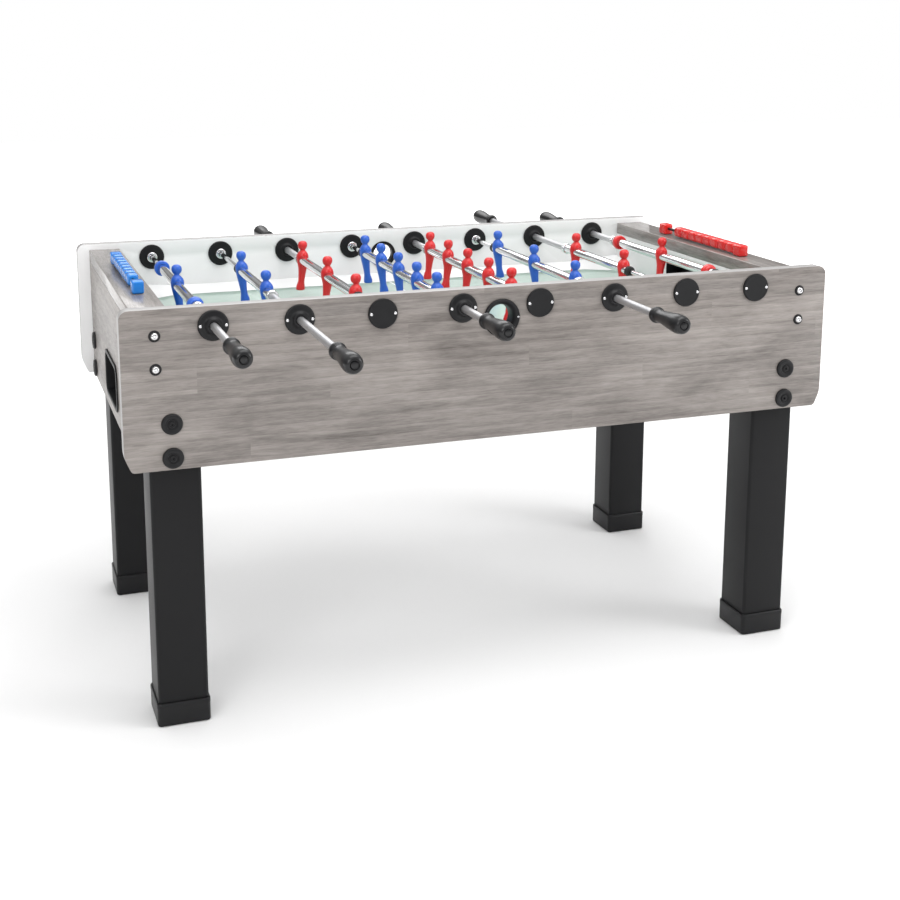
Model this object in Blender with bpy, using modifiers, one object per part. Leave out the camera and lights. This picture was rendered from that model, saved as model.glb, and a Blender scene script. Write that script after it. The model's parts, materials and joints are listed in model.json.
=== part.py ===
"""Foosball table: a laminated cabinet on four steel legs, with eight telescopic rods of figures,
grips, ball entries, ball returns and bead scorers.

Metres, +Z up. The floor is Z = 0 and the origin is under the middle of the table. X runs along the
table and Y runs along the rods. The four rods of one team are turned from -Y, the others from +Y.
"""

import math

import bmesh
import bpy
from mathutils import Matrix, Vector

GAP = 0.0003  # between pieces that touch
MERGE = 0.00001

# Cabinet
TABLE_TOP = 0.765
HALF_LENGTH = 0.682
HALF_WIDTH = 0.380
SIDE_THICK = 0.025
SIDE_HEIGHT = 0.281
SIDE_BOTTOM = TABLE_TOP - SIDE_HEIGHT
INNER_Y = HALF_WIDTH - SIDE_THICK
TOP_CORNER_RADIUS = 0.016
LOWER_CUT_X = 0.012
LOWER_CUT_Z = 0.028
END_OUTER_X = 0.657
END_THICK = 0.018
END_INNER_X = END_OUTER_X - END_THICK
LEDGE_TOP = TABLE_TOP - 0.012
LEDGE_THICK = 0.025
LEDGE_INNER_X = 0.593
GOAL_WALL_THICK = 0.008
GOAL_WALL_BOTTOM = 0.605
GOAL_WIDTH = 0.200
GOAL_HEIGHT = 0.070
GOAL_CORNER = 0.018
FLOOR_TOP = 0.5135
FLOOR_THICK = 0.008

# Rods
ROD_PITCH = 0.150
ROD_Z = TABLE_TOP - 0.0335
TUBE_R = 0.0095
HANDLE_TUBE_R = 0.0070
COLLAR_R = 0.0120
COLLAR_LENGTH = 0.010
END_RING_R = 0.0108
END_RING_LENGTH = 0.010
BORE_R = 0.0054
GUIDE_R = 0.0050
GUIDE_FITTING_R = 0.0110
GUIDE_FITTING_LENGTH = 0.009
GUIDE_ENGAGEMENT = 0.035  # length of guide rod left in the tube at full travel
TUBE_IN_GRIP = 0.084
TUBE_END_WALL = 0.003
GRIP_LENGTH = 0.104
GRIP_BORE_R = 0.0074
STOP_RING_R = 0.0160
STOP_RING_LENGTH = 0.018
STOP_RING_AT = 0.205
SLEEVE_R = 0.0106  # the moulding that joins a rod's figures, round its tube

# Playing field
FIELD_TOP = ROD_Z - 0.078
GLASS_THICK = 0.005
RAMP_WIDTH = 0.050
RAMP_HEIGHT = 0.012
CORNER_REACH = 0.110
CORNER_HEIGHT = 0.022

# Legs
LEG_SIDE = 0.090
LEG_WALL = 0.002
LEG_OUTER_X = 0.638
LEG_OUTER_Y = INNER_Y - 0.0005
LEG_TOP = 0.599
LEG_X = LEG_OUTER_X - LEG_SIDE / 2
LEG_Y = LEG_OUTER_Y - LEG_SIDE / 2
CAP_OVER = 0.003
CAP_HEIGHT = 0.044
CAP_FLOOR = 0.004
CAP_ROUND = 0.006
CORNER_NAMES = ("front_left", "front_right", "rear_left", "rear_right")
CORNERS = ((-1, -1), (1, -1), (-1, 1), (1, 1))

# Fittings
HANDLE_HOLE_R = 0.0075
GUIDE_HOLE_R = 0.0055
GUIDE_IN_PANEL = 0.020
ENTRY_THICK = 0.0045
ENTRY_R = 0.035
ENTRY_SLEEVE_R = 0.0302
ENTRY_MOUTH_R = 0.0325
ENTRY_THROAT_R = 0.0225
ENTRY_Z = ROD_Z - 0.023
RETURN_Z = SIDE_BOTTOM + 0.070
RETURN_HALF = (0.0875, 0.0400)
RETURN_CORNER = 0.018
RETURN_RIM = 0.006
RETURN_RIM_THICK = 0.003
RETURN_WALL = 0.0025
RETURN_DEPTH = 0.026

# Scorers
SCORER_X = 0.622
SCORER_Z = LEDGE_TOP + 0.0135
RAIL_R = 0.003
BLOCK_SIZE = (0.022, 0.028, 0.0235)  # the block at each end of the rail
RAIL_HALF = 0.148  # from the middle of the rail to a block
BEAD_PITCH = 0.0318
BEAD_LENGTH = 0.0308
BEAD_HALF = 0.0105
BEAD_HOLE_R = 0.0036
BEAD_NECK_R = 0.0060
BEAD_COUNT = 8

# Sides of the turned pieces
DISC_SIDES = 12
ROD_SIDES = 10
RAIL_SIDES = 6
BEAD_SIDES = 8

# Each kind of rod: where its figures are, how far the tube reaches towards the grip and towards the
# guide, its travel each way, and the length of bare rod between the cabinet and the grip.
ROD_KINDS = {
    "keeper": {"figures": (0.0,), "reach": 0.235, "tail": 0.235, "travel": 0.105, "bare": 0.157},
    "two": {"figures": (-0.1175, 0.1175), "reach": 0.170, "tail": 0.150, "travel": 0.172, "bare": 0.244},
    "three": {"figures": (-0.207, 0.0, 0.207), "reach": 0.232, "tail": 0.232, "travel": 0.110, "bare": 0.161},
    "five": {
        "figures": (-0.240, -0.120, 0.0, 0.120, 0.240),
        "reach": 0.265,
        "tail": 0.265,
        "travel": 0.078,
        "bare": 0.114,
    },
}
# From -X to +X: the kind of rod and its team. Blue is turned from -Y, red from +Y.
ROD_ORDER = (
    ("keeper", "blue"),
    ("two", "blue"),
    ("three", "red"),
    ("five", "blue"),
    ("five", "red"),
    ("three", "blue"),
    ("two", "red"),
    ("keeper", "red"),
)

# A figure from its feet to its head: height from the rod's axis, half depth, half width, step forward
FIGURE_SECTIONS = (
    (-0.0650, 0.0130, 0.0105, 0.0020),
    (-0.0470, 0.0110, 0.0100, 0.0010),
    (-0.0430, 0.0070, 0.0080, 0.0000),
    (-0.0150, 0.0120, 0.0115, 0.0000),
    (0.0140, 0.0155, 0.0135, 0.0000),
    (0.0250, 0.0090, 0.0130, 0.0000),
    (0.0265, 0.0050, 0.0050, 0.0000),
    (0.0320, 0.0085, 0.0080, 0.0005),
    (0.0410, 0.0050, 0.0045, 0.0000),
)
SECTION_CHAMFER = 0.75

UPRIGHT = Matrix.Rotation(math.radians(90), 4, "X")  # local Z to -Y and local Y to +Z
HALF_TURN = Matrix.Rotation(math.radians(180), 4, "Z")
QUARTER_TURN = Matrix.Rotation(math.radians(90), 4, "Z")


# ---------------------------------------------------------------- scene and materials


def clear_scene():
    for obj in list(bpy.data.objects):
        bpy.data.objects.remove(obj, do_unlink=True)


def new_collection(name):
    collection = bpy.data.collections.new(name)
    bpy.context.scene.collection.children.link(collection)
    return collection


def new_material(name, color, roughness, metallic=0.0):
    material = bpy.data.materials.new(name)
    material.use_nodes = True
    shader = material.node_tree.nodes["Principled BSDF"]
    shader.inputs["Base Color"].default_value = (*color, 1.0)
    shader.inputs["Roughness"].default_value = roughness
    shader.inputs["Metallic"].default_value = metallic
    return material


def new_object(name, mesh, material=None, matrix=None, parent=None):
    """A part of the table, in the collection of parts."""
    obj = bpy.data.objects.new(name, mesh)
    PARTS.objects.link(obj)
    if parent:
        obj.parent = parent
    if matrix:
        obj.matrix_world = matrix
    if material:
        obj.data.materials.clear()
        obj.data.materials.append(material)
    return obj


# ---------------------------------------------------------------- shapes


def baked(obj):
    """The object's mesh as its modifiers leave it, welded and facing out. The object is removed."""
    bpy.context.view_layer.update()
    graph = bpy.context.evaluated_depsgraph_get()
    mesh = bpy.data.meshes.new_from_object(obj.evaluated_get(graph))
    bpy.data.objects.remove(obj, do_unlink=True)
    bm = bmesh.new()
    bm.from_mesh(mesh)
    bmesh.ops.remove_doubles(bm, verts=bm.verts, dist=MERGE)
    bmesh.ops.recalc_face_normals(bm, faces=bm.faces)
    bm.to_mesh(mesh)
    bm.free()
    return mesh


def flat_mesh(outlines, thickness):
    """A board of the first outline, with the other outlines as holes, thick about its own plane."""
    curve = bpy.data.curves.new("outline", "CURVE")
    curve.dimensions = "2D"
    curve.fill_mode = "BOTH"
    curve.extrude = thickness / 2
    for outline in outlines:
        spline = curve.splines.new("POLY")
        spline.points.add(len(outline) - 1)
        for point, (x, y) in zip(spline.points, outline):
            point.co = (x, y, 0, 1)
        spline.use_cyclic_u = True
    return baked(new_object("outline", curve))


def turned_mesh(profile, sides, ring=False):
    """A profile of (radius, height) points turned about Z. A ring's profile is a closed loop."""
    mesh = bpy.data.meshes.new("profile")
    bm = bmesh.new()
    points = [bm.verts.new((radius, 0, height)) for radius, height in profile]
    for first, second in zip(points, points[1:]):
        bm.edges.new((first, second))
    if ring:
        bm.edges.new((points[-1], points[0]))
    bm.to_mesh(mesh)
    bm.free()
    obj = new_object("profile", mesh)
    screw = obj.modifiers.new("Turn", "SCREW")
    screw.steps = sides
    screw.render_steps = sides
    screw.use_merge_vertices = True
    screw.merge_threshold = MERGE
    return baked(obj)


def box_mesh(low, high):
    low, high = Vector(low), Vector(high)
    bm = bmesh.new()
    bmesh.ops.create_cube(bm, size=1.0)
    bmesh.ops.scale(bm, vec=high - low, verts=bm.verts)
    bmesh.ops.translate(bm, vec=(low + high) / 2, verts=bm.verts)
    mesh = bpy.data.meshes.new("box")
    bm.to_mesh(mesh)
    bm.free()
    return mesh


def joined_mesh(name, placed):
    """One mesh of several separate solids, from pairs of a mesh and where it goes."""
    bm = bmesh.new()
    for mesh, matrix in placed:
        before = len(bm.verts)
        bm.from_mesh(mesh)
        bm.verts.ensure_lookup_table()
        bmesh.ops.transform(bm, matrix=matrix, verts=bm.verts[before:])
    bmesh.ops.recalc_face_normals(bm, faces=bm.faces)
    joined = bpy.data.meshes.new(name)
    bm.to_mesh(joined)
    bm.free()
    return joined


def combined_mesh(base, tool, operation):
    """A Boolean of two meshes. The tool is a helper that leaves the scene with it."""
    obj = new_object("base", base)
    helper = bpy.data.objects.new("helper", tool)
    HELPERS.objects.link(helper)
    helper.hide_render = True
    helper.display_type = "WIRE"
    boolean = obj.modifiers.new("Combine", "BOOLEAN")
    boolean.operation = operation
    boolean.solver = "EXACT"
    boolean.object = helper
    mesh = baked(obj)
    bpy.data.objects.remove(helper, do_unlink=True)
    return mesh


def lofted_mesh(rings, closed):
    """Walls between rings with equally many points, capped at both ends or closed round."""
    bm = bmesh.new()
    loops = [[bm.verts.new(point) for point in ring] for ring in rings]
    pairs = list(zip(loops, loops[1:]))
    if closed:
        pairs.append((loops[-1], loops[0]))
    else:
        bm.faces.new(loops[0])
        bm.faces.new(loops[-1])
    for lower, upper in pairs:
        for i in range(len(lower)):
            j = (i + 1) % len(lower)
            bm.faces.new((lower[i], lower[j], upper[j], upper[i]))
    bmesh.ops.recalc_face_normals(bm, faces=bm.faces)
    mesh = bpy.data.meshes.new("loft")
    bm.to_mesh(mesh)
    bm.free()
    return mesh


def arc(centre, radius, start, end, steps):
    """Points on an arc, from one angle to another in degrees."""
    points = []
    for i in range(steps + 1):
        angle = math.radians(start + (end - start) * i / steps)
        points.append((centre[0] + radius * math.cos(angle), centre[1] + radius * math.sin(angle)))
    return points


def circle(centre, radius, sides):
    return arc(centre, radius, 0, 360, sides)[:-1]


def rounded_box(half_width, half_height, radius, centre=(0.0, 0.0), steps=3):
    """A rectangle with round corners, anticlockwise from its right side."""
    points = []
    for i, (x, y) in enumerate(((1, 1), (-1, 1), (-1, -1), (1, -1))):
        corner = (centre[0] + x * (half_width - radius), centre[1] + y * (half_height - radius))
        points += arc(corner, radius, 90 * i, 90 * (i + 1), steps)
    return points


# ---------------------------------------------------------------- cabinet


def rod_xs():
    middle = (len(ROD_ORDER) - 1) / 2
    return [(i - middle) * ROD_PITCH for i in range(len(ROD_ORDER))]


def side_panel_mesh(grips_of):
    """A side panel, with wide holes where that team's rods come out to their grips."""
    half_height = SIDE_HEIGHT / 2
    inset_x = HALF_LENGTH - TOP_CORNER_RADIUS
    inset_z = half_height - TOP_CORNER_RADIUS
    outline = arc((inset_x, inset_z), TOP_CORNER_RADIUS, 0, 90, 4)
    outline += arc((-inset_x, inset_z), TOP_CORNER_RADIUS, 90, 180, 4)
    outline += [
        (-HALF_LENGTH, LOWER_CUT_Z - half_height),
        (LOWER_CUT_X - HALF_LENGTH, -half_height),
        (HALF_LENGTH - LOWER_CUT_X, -half_height),
        (HALF_LENGTH, LOWER_CUT_Z - half_height),
    ]
    middle = SIDE_BOTTOM + half_height
    holes = [circle((0, ENTRY_Z - middle), ENTRY_SLEEVE_R + GAP, DISC_SIDES)]
    for x, (_, team) in zip(rod_xs(), ROD_ORDER):
        radius = HANDLE_HOLE_R if team == grips_of else GUIDE_HOLE_R
        holes.append(circle((x, ROD_Z - middle), radius, DISC_SIDES))
    return flat_mesh([outline, *holes], SIDE_THICK)


def make_side_panels(material):
    for name, side, team in (("side_panel_front", -1, "blue"), ("side_panel_rear", 1, "red")):
        y = side * (HALF_WIDTH - SIDE_THICK / 2)
        place = Matrix.Translation((0, y, SIDE_BOTTOM + SIDE_HEIGHT / 2))
        new_object(name, side_panel_mesh(team), material, place @ UPRIGHT)


def make_end_panels(material):
    top = LEDGE_TOP - LEDGE_THICK - GAP
    half_height = (top - SIDE_BOTTOM) / 2
    middle = SIDE_BOTTOM + half_height
    outline = rounded_box(INNER_Y - GAP, half_height, 0.002, steps=1)
    opening = rounded_box(
        RETURN_HALF[0] + GAP, RETURN_HALF[1] + GAP, RETURN_CORNER, (0, RETURN_Z - middle)
    )
    mesh = flat_mesh([outline, opening], END_THICK)
    for name, side in (("end_panel_left", -1), ("end_panel_right", 1)):
        place = Matrix.Translation((side * (END_OUTER_X - END_THICK / 2), 0, middle))
        new_object(name, mesh, material, place @ QUARTER_TURN @ UPRIGHT)


def make_end_ledges(material):
    width = END_OUTER_X - LEDGE_INNER_X
    mesh = flat_mesh([rounded_box(width / 2, INNER_Y - GAP, 0.002, steps=1)], LEDGE_THICK)
    for name, side in (("end_ledge_left", -1), ("end_ledge_right", 1)):
        place = Matrix.Translation((side * (LEDGE_INNER_X + width / 2), 0, LEDGE_TOP - LEDGE_THICK / 2))
        new_object(name, mesh, material, place)


def make_goal_walls(material):
    top = LEDGE_TOP - LEDGE_THICK - GAP
    half_height = (top - GOAL_WALL_BOTTOM) / 2
    middle = GOAL_WALL_BOTTOM + half_height
    outline = rounded_box(INNER_Y - GAP, half_height, 0.002, steps=1)
    goal = rounded_box(
        GOAL_WIDTH / 2, GOAL_HEIGHT / 2, GOAL_CORNER, (0, FIELD_TOP + GOAL_HEIGHT / 2 - middle)
    )
    mesh = flat_mesh([outline, goal], GOAL_WALL_THICK)
    for name, side in (("goal_wall_left", -1), ("goal_wall_right", 1)):
        place = Matrix.Translation((side * (LEDGE_INNER_X + GOAL_WALL_THICK / 2), 0, middle))
        new_object(name, mesh, material, place @ QUARTER_TURN @ UPRIGHT)


def make_field(glass, white):
    """The glass sheet, and along each side a low ramp that widens and rises into the corners."""
    half_x = LEDGE_INNER_X - GAP
    half_y = INNER_Y - GAP
    sheet = box_mesh((-half_x, -half_y, FIELD_TOP - GLASS_THICK), (half_x, half_y, FIELD_TOP))
    new_object("playfield_glass", sheet, glass)

    foot = FIELD_TOP + GAP
    stretch = half_x - CORNER_REACH
    stations = (
        (-half_x, CORNER_REACH, CORNER_HEIGHT),
        (-stretch, RAMP_WIDTH, RAMP_HEIGHT),
        (stretch, RAMP_WIDTH, RAMP_HEIGHT),
        (half_x, CORNER_REACH, CORNER_HEIGHT),
    )
    rings = [
        [(x, half_y - width, foot), (x, half_y, foot), (x, half_y, foot + height)]
        for x, width, height in stations
    ]
    ramp = lofted_mesh(rings, closed=False)
    new_object("field_ramp_rear", ramp, white)
    new_object("field_ramp_front", ramp, white, HALF_TURN)


def make_cabinet_floor(material):
    """A board between the end panels, cut out at its corners for the legs."""
    long_x = END_INNER_X - GAP
    short_x = LEG_OUTER_X - LEG_SIDE - GAP
    long_y = INNER_Y - GAP
    short_y = LEG_OUTER_Y - LEG_SIDE - GAP
    quarter = [(long_x, short_y), (short_x, short_y), (short_x, long_y)]
    outline = quarter + [(-x, y) for x, y in reversed(quarter)]
    outline += [(-x, -y) for x, y in quarter] + [(x, -y) for x, y in reversed(quarter)]
    place = Matrix.Translation((0, 0, FLOOR_TOP - FLOOR_THICK / 2))
    new_object("cabinet_floor", flat_mesh([outline], FLOOR_THICK), material, place)


# ---------------------------------------------------------------- legs


def make_legs(material):
    half = LEG_SIDE / 2
    length = LEG_TOP - CAP_FLOOR - GAP
    outer = rounded_box(half, half, 0.005, steps=2)
    inner = rounded_box(half - LEG_WALL, half - LEG_WALL, 0.003, steps=2)
    mesh = flat_mesh([outer, inner], length)
    for name, (x, y) in zip(CORNER_NAMES, CORNERS):
        place = Matrix.Translation((x * LEG_X, y * LEG_Y, LEG_TOP - length / 2))
        new_object(f"leg_{name}", mesh, material, place)


def make_foot_caps(material):
    half = LEG_SIDE / 2 + CAP_OVER
    bm = bmesh.new()
    bmesh.ops.create_cube(bm, size=1.0)
    bmesh.ops.scale(bm, vec=(2 * half, 2 * half, CAP_HEIGHT), verts=bm.verts)
    bmesh.ops.translate(bm, vec=(0, 0, CAP_HEIGHT / 2), verts=bm.verts)
    upright = [edge for edge in bm.edges if abs(edge.verts[0].co.z - edge.verts[1].co.z) > MERGE]
    bmesh.ops.bevel(
        bm, geom=upright, offset=CAP_ROUND, offset_type="OFFSET", affect="EDGES", segments=2, profile=0.5
    )
    block = bpy.data.meshes.new("cap")
    bm.to_mesh(block)
    bm.free()
    inner = LEG_SIDE / 2 + GAP
    pocket = box_mesh((-inner, -inner, CAP_FLOOR), (inner, inner, 2 * CAP_HEIGHT))
    cap = combined_mesh(block, pocket, "DIFFERENCE")
    for name, (x, y) in zip(CORNER_NAMES, CORNERS):
        new_object(f"foot_cap_{name}", cap, material, Matrix.Translation((x * LEG_X, y * LEG_Y, 0)))


# ---------------------------------------------------------------- rods


def make_figure_mesh():
    """A player with its rod's axis along Z through its chest, its head towards +Y, facing +X."""
    corners = ((1, SECTION_CHAMFER), (SECTION_CHAMFER, 1))
    quarters = ((1, 1), (-1, 1), (-1, -1), (1, -1))
    rings = []
    for height, depth, width, forward in FIGURE_SECTIONS:
        ring = []
        for quarter, (x, z) in enumerate(quarters):
            pair = corners if quarter % 2 == 0 else reversed(corners)
            ring += [(forward + x * depth * a, height, z * width * b) for a, b in pair]
        rings.append(ring)
    return lofted_mesh(rings, closed=False)


def make_men_mesh(kind, has_stop_rings):
    """The figures of one rod, moulded on one sleeve with the tube's bore through it."""
    figure = make_figure_mesh()
    figures = joined_mesh("figures", [(figure, Matrix.Translation((0, 0, at))) for at in kind["figures"]])
    ends = max(kind["figures"])
    sleeve = [(0, ends), (SLEEVE_R, ends), (SLEEVE_R, -ends), (0, -ends)]
    if has_stop_rings:
        inner, outer = STOP_RING_AT - STOP_RING_LENGTH / 2, STOP_RING_AT + STOP_RING_LENGTH / 2
        half = [(0, outer), (STOP_RING_R, outer), (STOP_RING_R, inner), (SLEEVE_R, inner)]
        sleeve = half + [(radius, -height) for radius, height in reversed(half)]
    men = figures
    if has_stop_rings or ends > 0:
        men = combined_mesh(figures, turned_mesh(sleeve, ROD_SIDES), "UNION")
    bore_r, past = TUBE_R + GAP, HALF_WIDTH
    bore = turned_mesh([(0, past), (bore_r, past), (bore_r, -past), (0, -past)], ROD_SIDES)
    return combined_mesh(men, bore, "DIFFERENCE")


def make_grip_mesh():
    profile = [
        (0.0, GRIP_LENGTH),
        (0.0106, GRIP_LENGTH),
        (0.0160, GRIP_LENGTH - 0.009),
        (0.0168, GRIP_LENGTH - 0.026),
        (0.0142, 0.050),
        (0.0120, 0.028),
        (0.0138, 0.0),
        (GRIP_BORE_R, 0.0),
        (GRIP_BORE_R, TUBE_IN_GRIP + GAP),
        (0.0, TUBE_IN_GRIP + GAP),
    ]
    return turned_mesh(profile, ROD_SIDES)


def make_tube_mesh(kind):
    """The figures' tube, its collar, its end ring and the thinner tube to the grip, bored from the guide's end."""
    reach = kind["reach"]
    tail = -kind["tail"]
    grip_end = HALF_WIDTH + kind["bare"] + TUBE_IN_GRIP
    profile = [
        (0.0, grip_end),
        (HANDLE_TUBE_R, grip_end),
        (HANDLE_TUBE_R, reach),
        (COLLAR_R, reach),
        (COLLAR_R, reach - COLLAR_LENGTH),
        (TUBE_R, reach - COLLAR_LENGTH),
        (TUBE_R, tail + END_RING_LENGTH),
        (END_RING_R, tail + END_RING_LENGTH),
        (END_RING_R, tail),
        (BORE_R, tail),
        (BORE_R, grip_end - TUBE_END_WALL),
        (0.0, grip_end - TUBE_END_WALL),
    ]
    return turned_mesh(profile, ROD_SIDES)


def make_guide_mesh(kind):
    """The thin rod that the tube slides on, with its fitting against the far wall and its end in the panel."""
    end = kind["travel"] - kind["tail"] + GUIDE_ENGAGEMENT
    wall = GAP - INNER_Y
    profile = [
        (0.0, end),
        (GUIDE_R, end),
        (GUIDE_R, wall + GUIDE_FITTING_LENGTH),
        (GUIDE_FITTING_R, wall + GUIDE_FITTING_LENGTH),
        (GUIDE_FITTING_R, wall),
        (GUIDE_R, wall),
        (GUIDE_R, wall - GUIDE_IN_PANEL),
        (0.0, wall - GUIDE_IN_PANEL),
    ]
    return turned_mesh(profile, ROD_SIDES)


def make_rods(steel, chrome, black, teams):
    """Each rod hangs on an empty on its axis, whose Z points to the grip and whose Y points up."""
    grip = make_grip_mesh()
    for number, (x, (kind_name, team)) in enumerate(zip(rod_xs(), ROD_ORDER), start=1):
        kind = ROD_KINDS[kind_name]
        name = f"rod{number}"
        turn = UPRIGHT if team == "blue" else HALF_TURN @ UPRIGHT
        axis = bpy.data.objects.new(f"{name}_axis", None)
        PARTS.objects.link(axis)
        axis.matrix_world = Matrix.Translation((x, 0, ROD_Z)) @ turn
        here = axis.matrix_world.copy()
        men = make_men_mesh(kind, kind_name == "keeper")
        grip_at = Matrix.Translation((0, 0, HALF_WIDTH + kind["bare"]))
        new_object(f"{name}_guide_rod", make_guide_mesh(kind), steel, here, axis)
        new_object(f"{name}_tube", make_tube_mesh(kind), chrome, here, axis)
        new_object(f"{name}_men", men, teams[team], here, axis)
        new_object(f"{name}_grip", grip, black, here @ grip_at, axis)


# ---------------------------------------------------------------- fittings in the panels


def make_ball_entries(material):
    sleeve_end = -SIDE_THICK - 0.0015
    entry = turned_mesh(
        [
            (ENTRY_MOUTH_R, ENTRY_THICK),
            (ENTRY_R, ENTRY_THICK - 0.001),
            (ENTRY_R, GAP),
            (ENTRY_SLEEVE_R, GAP),
            (ENTRY_SLEEVE_R, sleeve_end),
            (ENTRY_THROAT_R, sleeve_end),
            (ENTRY_THROAT_R + 0.001, -0.006),
        ],
        DISC_SIDES,
        True,
    )
    for name, side, turn in (("ball_entry_front", -1, Matrix.Identity(4)), ("ball_entry_rear", 1, HALF_TURN)):
        place = Matrix.Translation((0, side * HALF_WIDTH, ENTRY_Z)) @ turn @ UPRIGHT
        new_object(name, entry, material, place)


def make_ball_returns(material):
    """A rim round the opening in each end panel, with a sleeve through the panel."""
    width, height = RETURN_HALF
    rim_shape = (width + RETURN_RIM, height + RETURN_RIM, RETURN_CORNER + RETURN_RIM)
    sleeve_shape = (width, height, RETURN_CORNER)
    inner_shape = (width - RETURN_WALL, height - RETURN_WALL, RETURN_CORNER - RETURN_WALL)
    levels = (
        (rim_shape, RETURN_RIM_THICK),
        (rim_shape, GAP),
        (sleeve_shape, GAP),
        (sleeve_shape, -RETURN_DEPTH),
        (inner_shape, -RETURN_DEPTH),
        (inner_shape, RETURN_RIM_THICK),
    )
    frame = lofted_mesh([[(x, y, z) for x, y in rounded_box(*shape)] for shape, z in levels], closed=True)
    for name, side in (("ball_return_left", -1), ("ball_return_right", 1)):
        turn = QUARTER_TURN if side > 0 else QUARTER_TURN @ HALF_TURN
        place = Matrix.Translation((side * END_OUTER_X, 0, RETURN_Z)) @ turn @ UPRIGHT
        new_object(name, frame, material, place)


# ---------------------------------------------------------------- scorers


def make_rail_mesh():
    """A rod along Y between two blocks that stand on the ledge."""
    width, length, height = BLOCK_SIZE
    reach = RAIL_HALF + length / 2
    rod = turned_mesh([(0, reach), (RAIL_R, reach), (RAIL_R, -reach), (0, -reach)], RAIL_SIDES)
    foot = LEDGE_TOP + GAP - SCORER_Z
    blocks = []
    for low_y in (-RAIL_HALF - length, RAIL_HALF):
        block = box_mesh((-width / 2, low_y, foot), (width / 2, low_y + length, foot + height))
        blocks.append((block, Matrix.Identity(4)))
    return combined_mesh(joined_mesh("rod", [(rod, UPRIGHT)]), joined_mesh("blocks", blocks), "UNION")


def make_beads_mesh():
    """A row of square beads from the end of the rail inwards, joined by short necks, along Z."""
    corner_r = BEAD_HALF / math.cos(math.pi / BEAD_SIDES)
    top = RAIL_HALF - (BEAD_PITCH - BEAD_LENGTH) / 2
    profile = []
    for i in range(BEAD_COUNT):
        bead_top = top - i * BEAD_PITCH
        bead_bottom = bead_top - BEAD_LENGTH
        if i > 0:
            profile.append((BEAD_NECK_R, bead_top))
        profile += [(corner_r, bead_top), (corner_r, bead_bottom)]
        if i < BEAD_COUNT - 1:
            profile.append((BEAD_NECK_R, bead_bottom))
    bottom = top - (BEAD_COUNT - 1) * BEAD_PITCH - BEAD_LENGTH
    profile += [(BEAD_HOLE_R, bottom), (BEAD_HOLE_R, top)]
    return turned_mesh(profile, BEAD_SIDES, True)


def make_scorers(teams):
    """The beads of each rail are pushed to the end that is farther from their team's grips."""
    flats_up = Matrix.Rotation(math.pi / BEAD_SIDES, 4, "Z")
    for name, team, side, turn in (
        ("scorer_left", "blue", -1, HALF_TURN),
        ("scorer_right", "red", 1, Matrix.Identity(4)),
    ):
        middle = Matrix.Translation((side * SCORER_X, 0, SCORER_Z)) @ turn
        new_object(f"{name}_rail", make_rail_mesh(), teams[team], middle)
        new_object(f"{name}_beads", make_beads_mesh(), teams[team], middle @ UPRIGHT @ flats_up)


# ---------------------------------------------------------------- the table


def main():
    oak = new_material("grey_oak", (0.36, 0.33, 0.31), 0.45)
    white = new_material("white_board", (0.80, 0.80, 0.79), 0.35)
    glass = new_material("frosted_field", (0.62, 0.70, 0.64), 0.30)
    black_steel = new_material("black_steel", (0.012, 0.012, 0.013), 0.40)
    black = new_material("black_plastic", (0.010, 0.010, 0.011), 0.35)
    chrome = new_material("chrome", (0.75, 0.75, 0.76), 0.15, 1.0)
    steel = new_material("steel", (0.55, 0.55, 0.56), 0.25, 1.0)
    teams = {
        "blue": new_material("blue_plastic", (0.01, 0.09, 0.55), 0.30),
        "red": new_material("red_plastic", (0.60, 0.015, 0.015), 0.30),
    }
    make_side_panels(oak)
    make_end_panels(oak)
    make_end_ledges(oak)
    make_goal_walls(white)
    make_field(glass, white)
    make_cabinet_floor(white)
    make_legs(black_steel)
    make_foot_caps(black)
    make_rods(steel, chrome, black, teams)
    make_ball_entries(black)
    make_ball_returns(black)
    make_scorers(teams)
    bpy.context.view_layer.update()


clear_scene()
PARTS = new_collection("foosball_table")
HELPERS = new_collection("helpers")
HELPERS.hide_render = True
main()
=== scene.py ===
"""The looks of a foosball table, built round its packed frame: laminated cabinet, steel legs,
telescopic rods with moulded figures and grips, their fittings, the playing field and the scorers.
"""

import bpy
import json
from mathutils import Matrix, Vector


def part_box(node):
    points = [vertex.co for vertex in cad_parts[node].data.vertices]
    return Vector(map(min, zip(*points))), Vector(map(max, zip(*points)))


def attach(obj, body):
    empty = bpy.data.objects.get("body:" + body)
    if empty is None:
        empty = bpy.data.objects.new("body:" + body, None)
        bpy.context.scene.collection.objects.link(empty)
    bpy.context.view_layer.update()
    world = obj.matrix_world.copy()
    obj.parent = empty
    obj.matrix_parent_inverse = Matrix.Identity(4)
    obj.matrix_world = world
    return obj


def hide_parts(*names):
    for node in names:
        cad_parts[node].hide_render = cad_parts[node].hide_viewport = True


bl_info = {
    "name": "Foosball Table",
    "version": (1, 0, 0),
    "blender": (4, 5, 0),
    "location": "View3D > Sidebar > Foosball",
    "description": "Builds the visible pieces of a foosball table round its frame",
    "category": "Object",
}

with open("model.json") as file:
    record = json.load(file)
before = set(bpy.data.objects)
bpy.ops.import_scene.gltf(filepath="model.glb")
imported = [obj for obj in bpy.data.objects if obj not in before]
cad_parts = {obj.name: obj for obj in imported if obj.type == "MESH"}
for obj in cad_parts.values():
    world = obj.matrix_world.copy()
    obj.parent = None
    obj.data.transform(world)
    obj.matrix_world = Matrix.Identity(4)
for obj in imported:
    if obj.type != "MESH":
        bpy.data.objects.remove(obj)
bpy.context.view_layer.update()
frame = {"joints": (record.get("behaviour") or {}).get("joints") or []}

import json
import math

import bmesh
import bpy
from mathutils import Matrix, Vector

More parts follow.
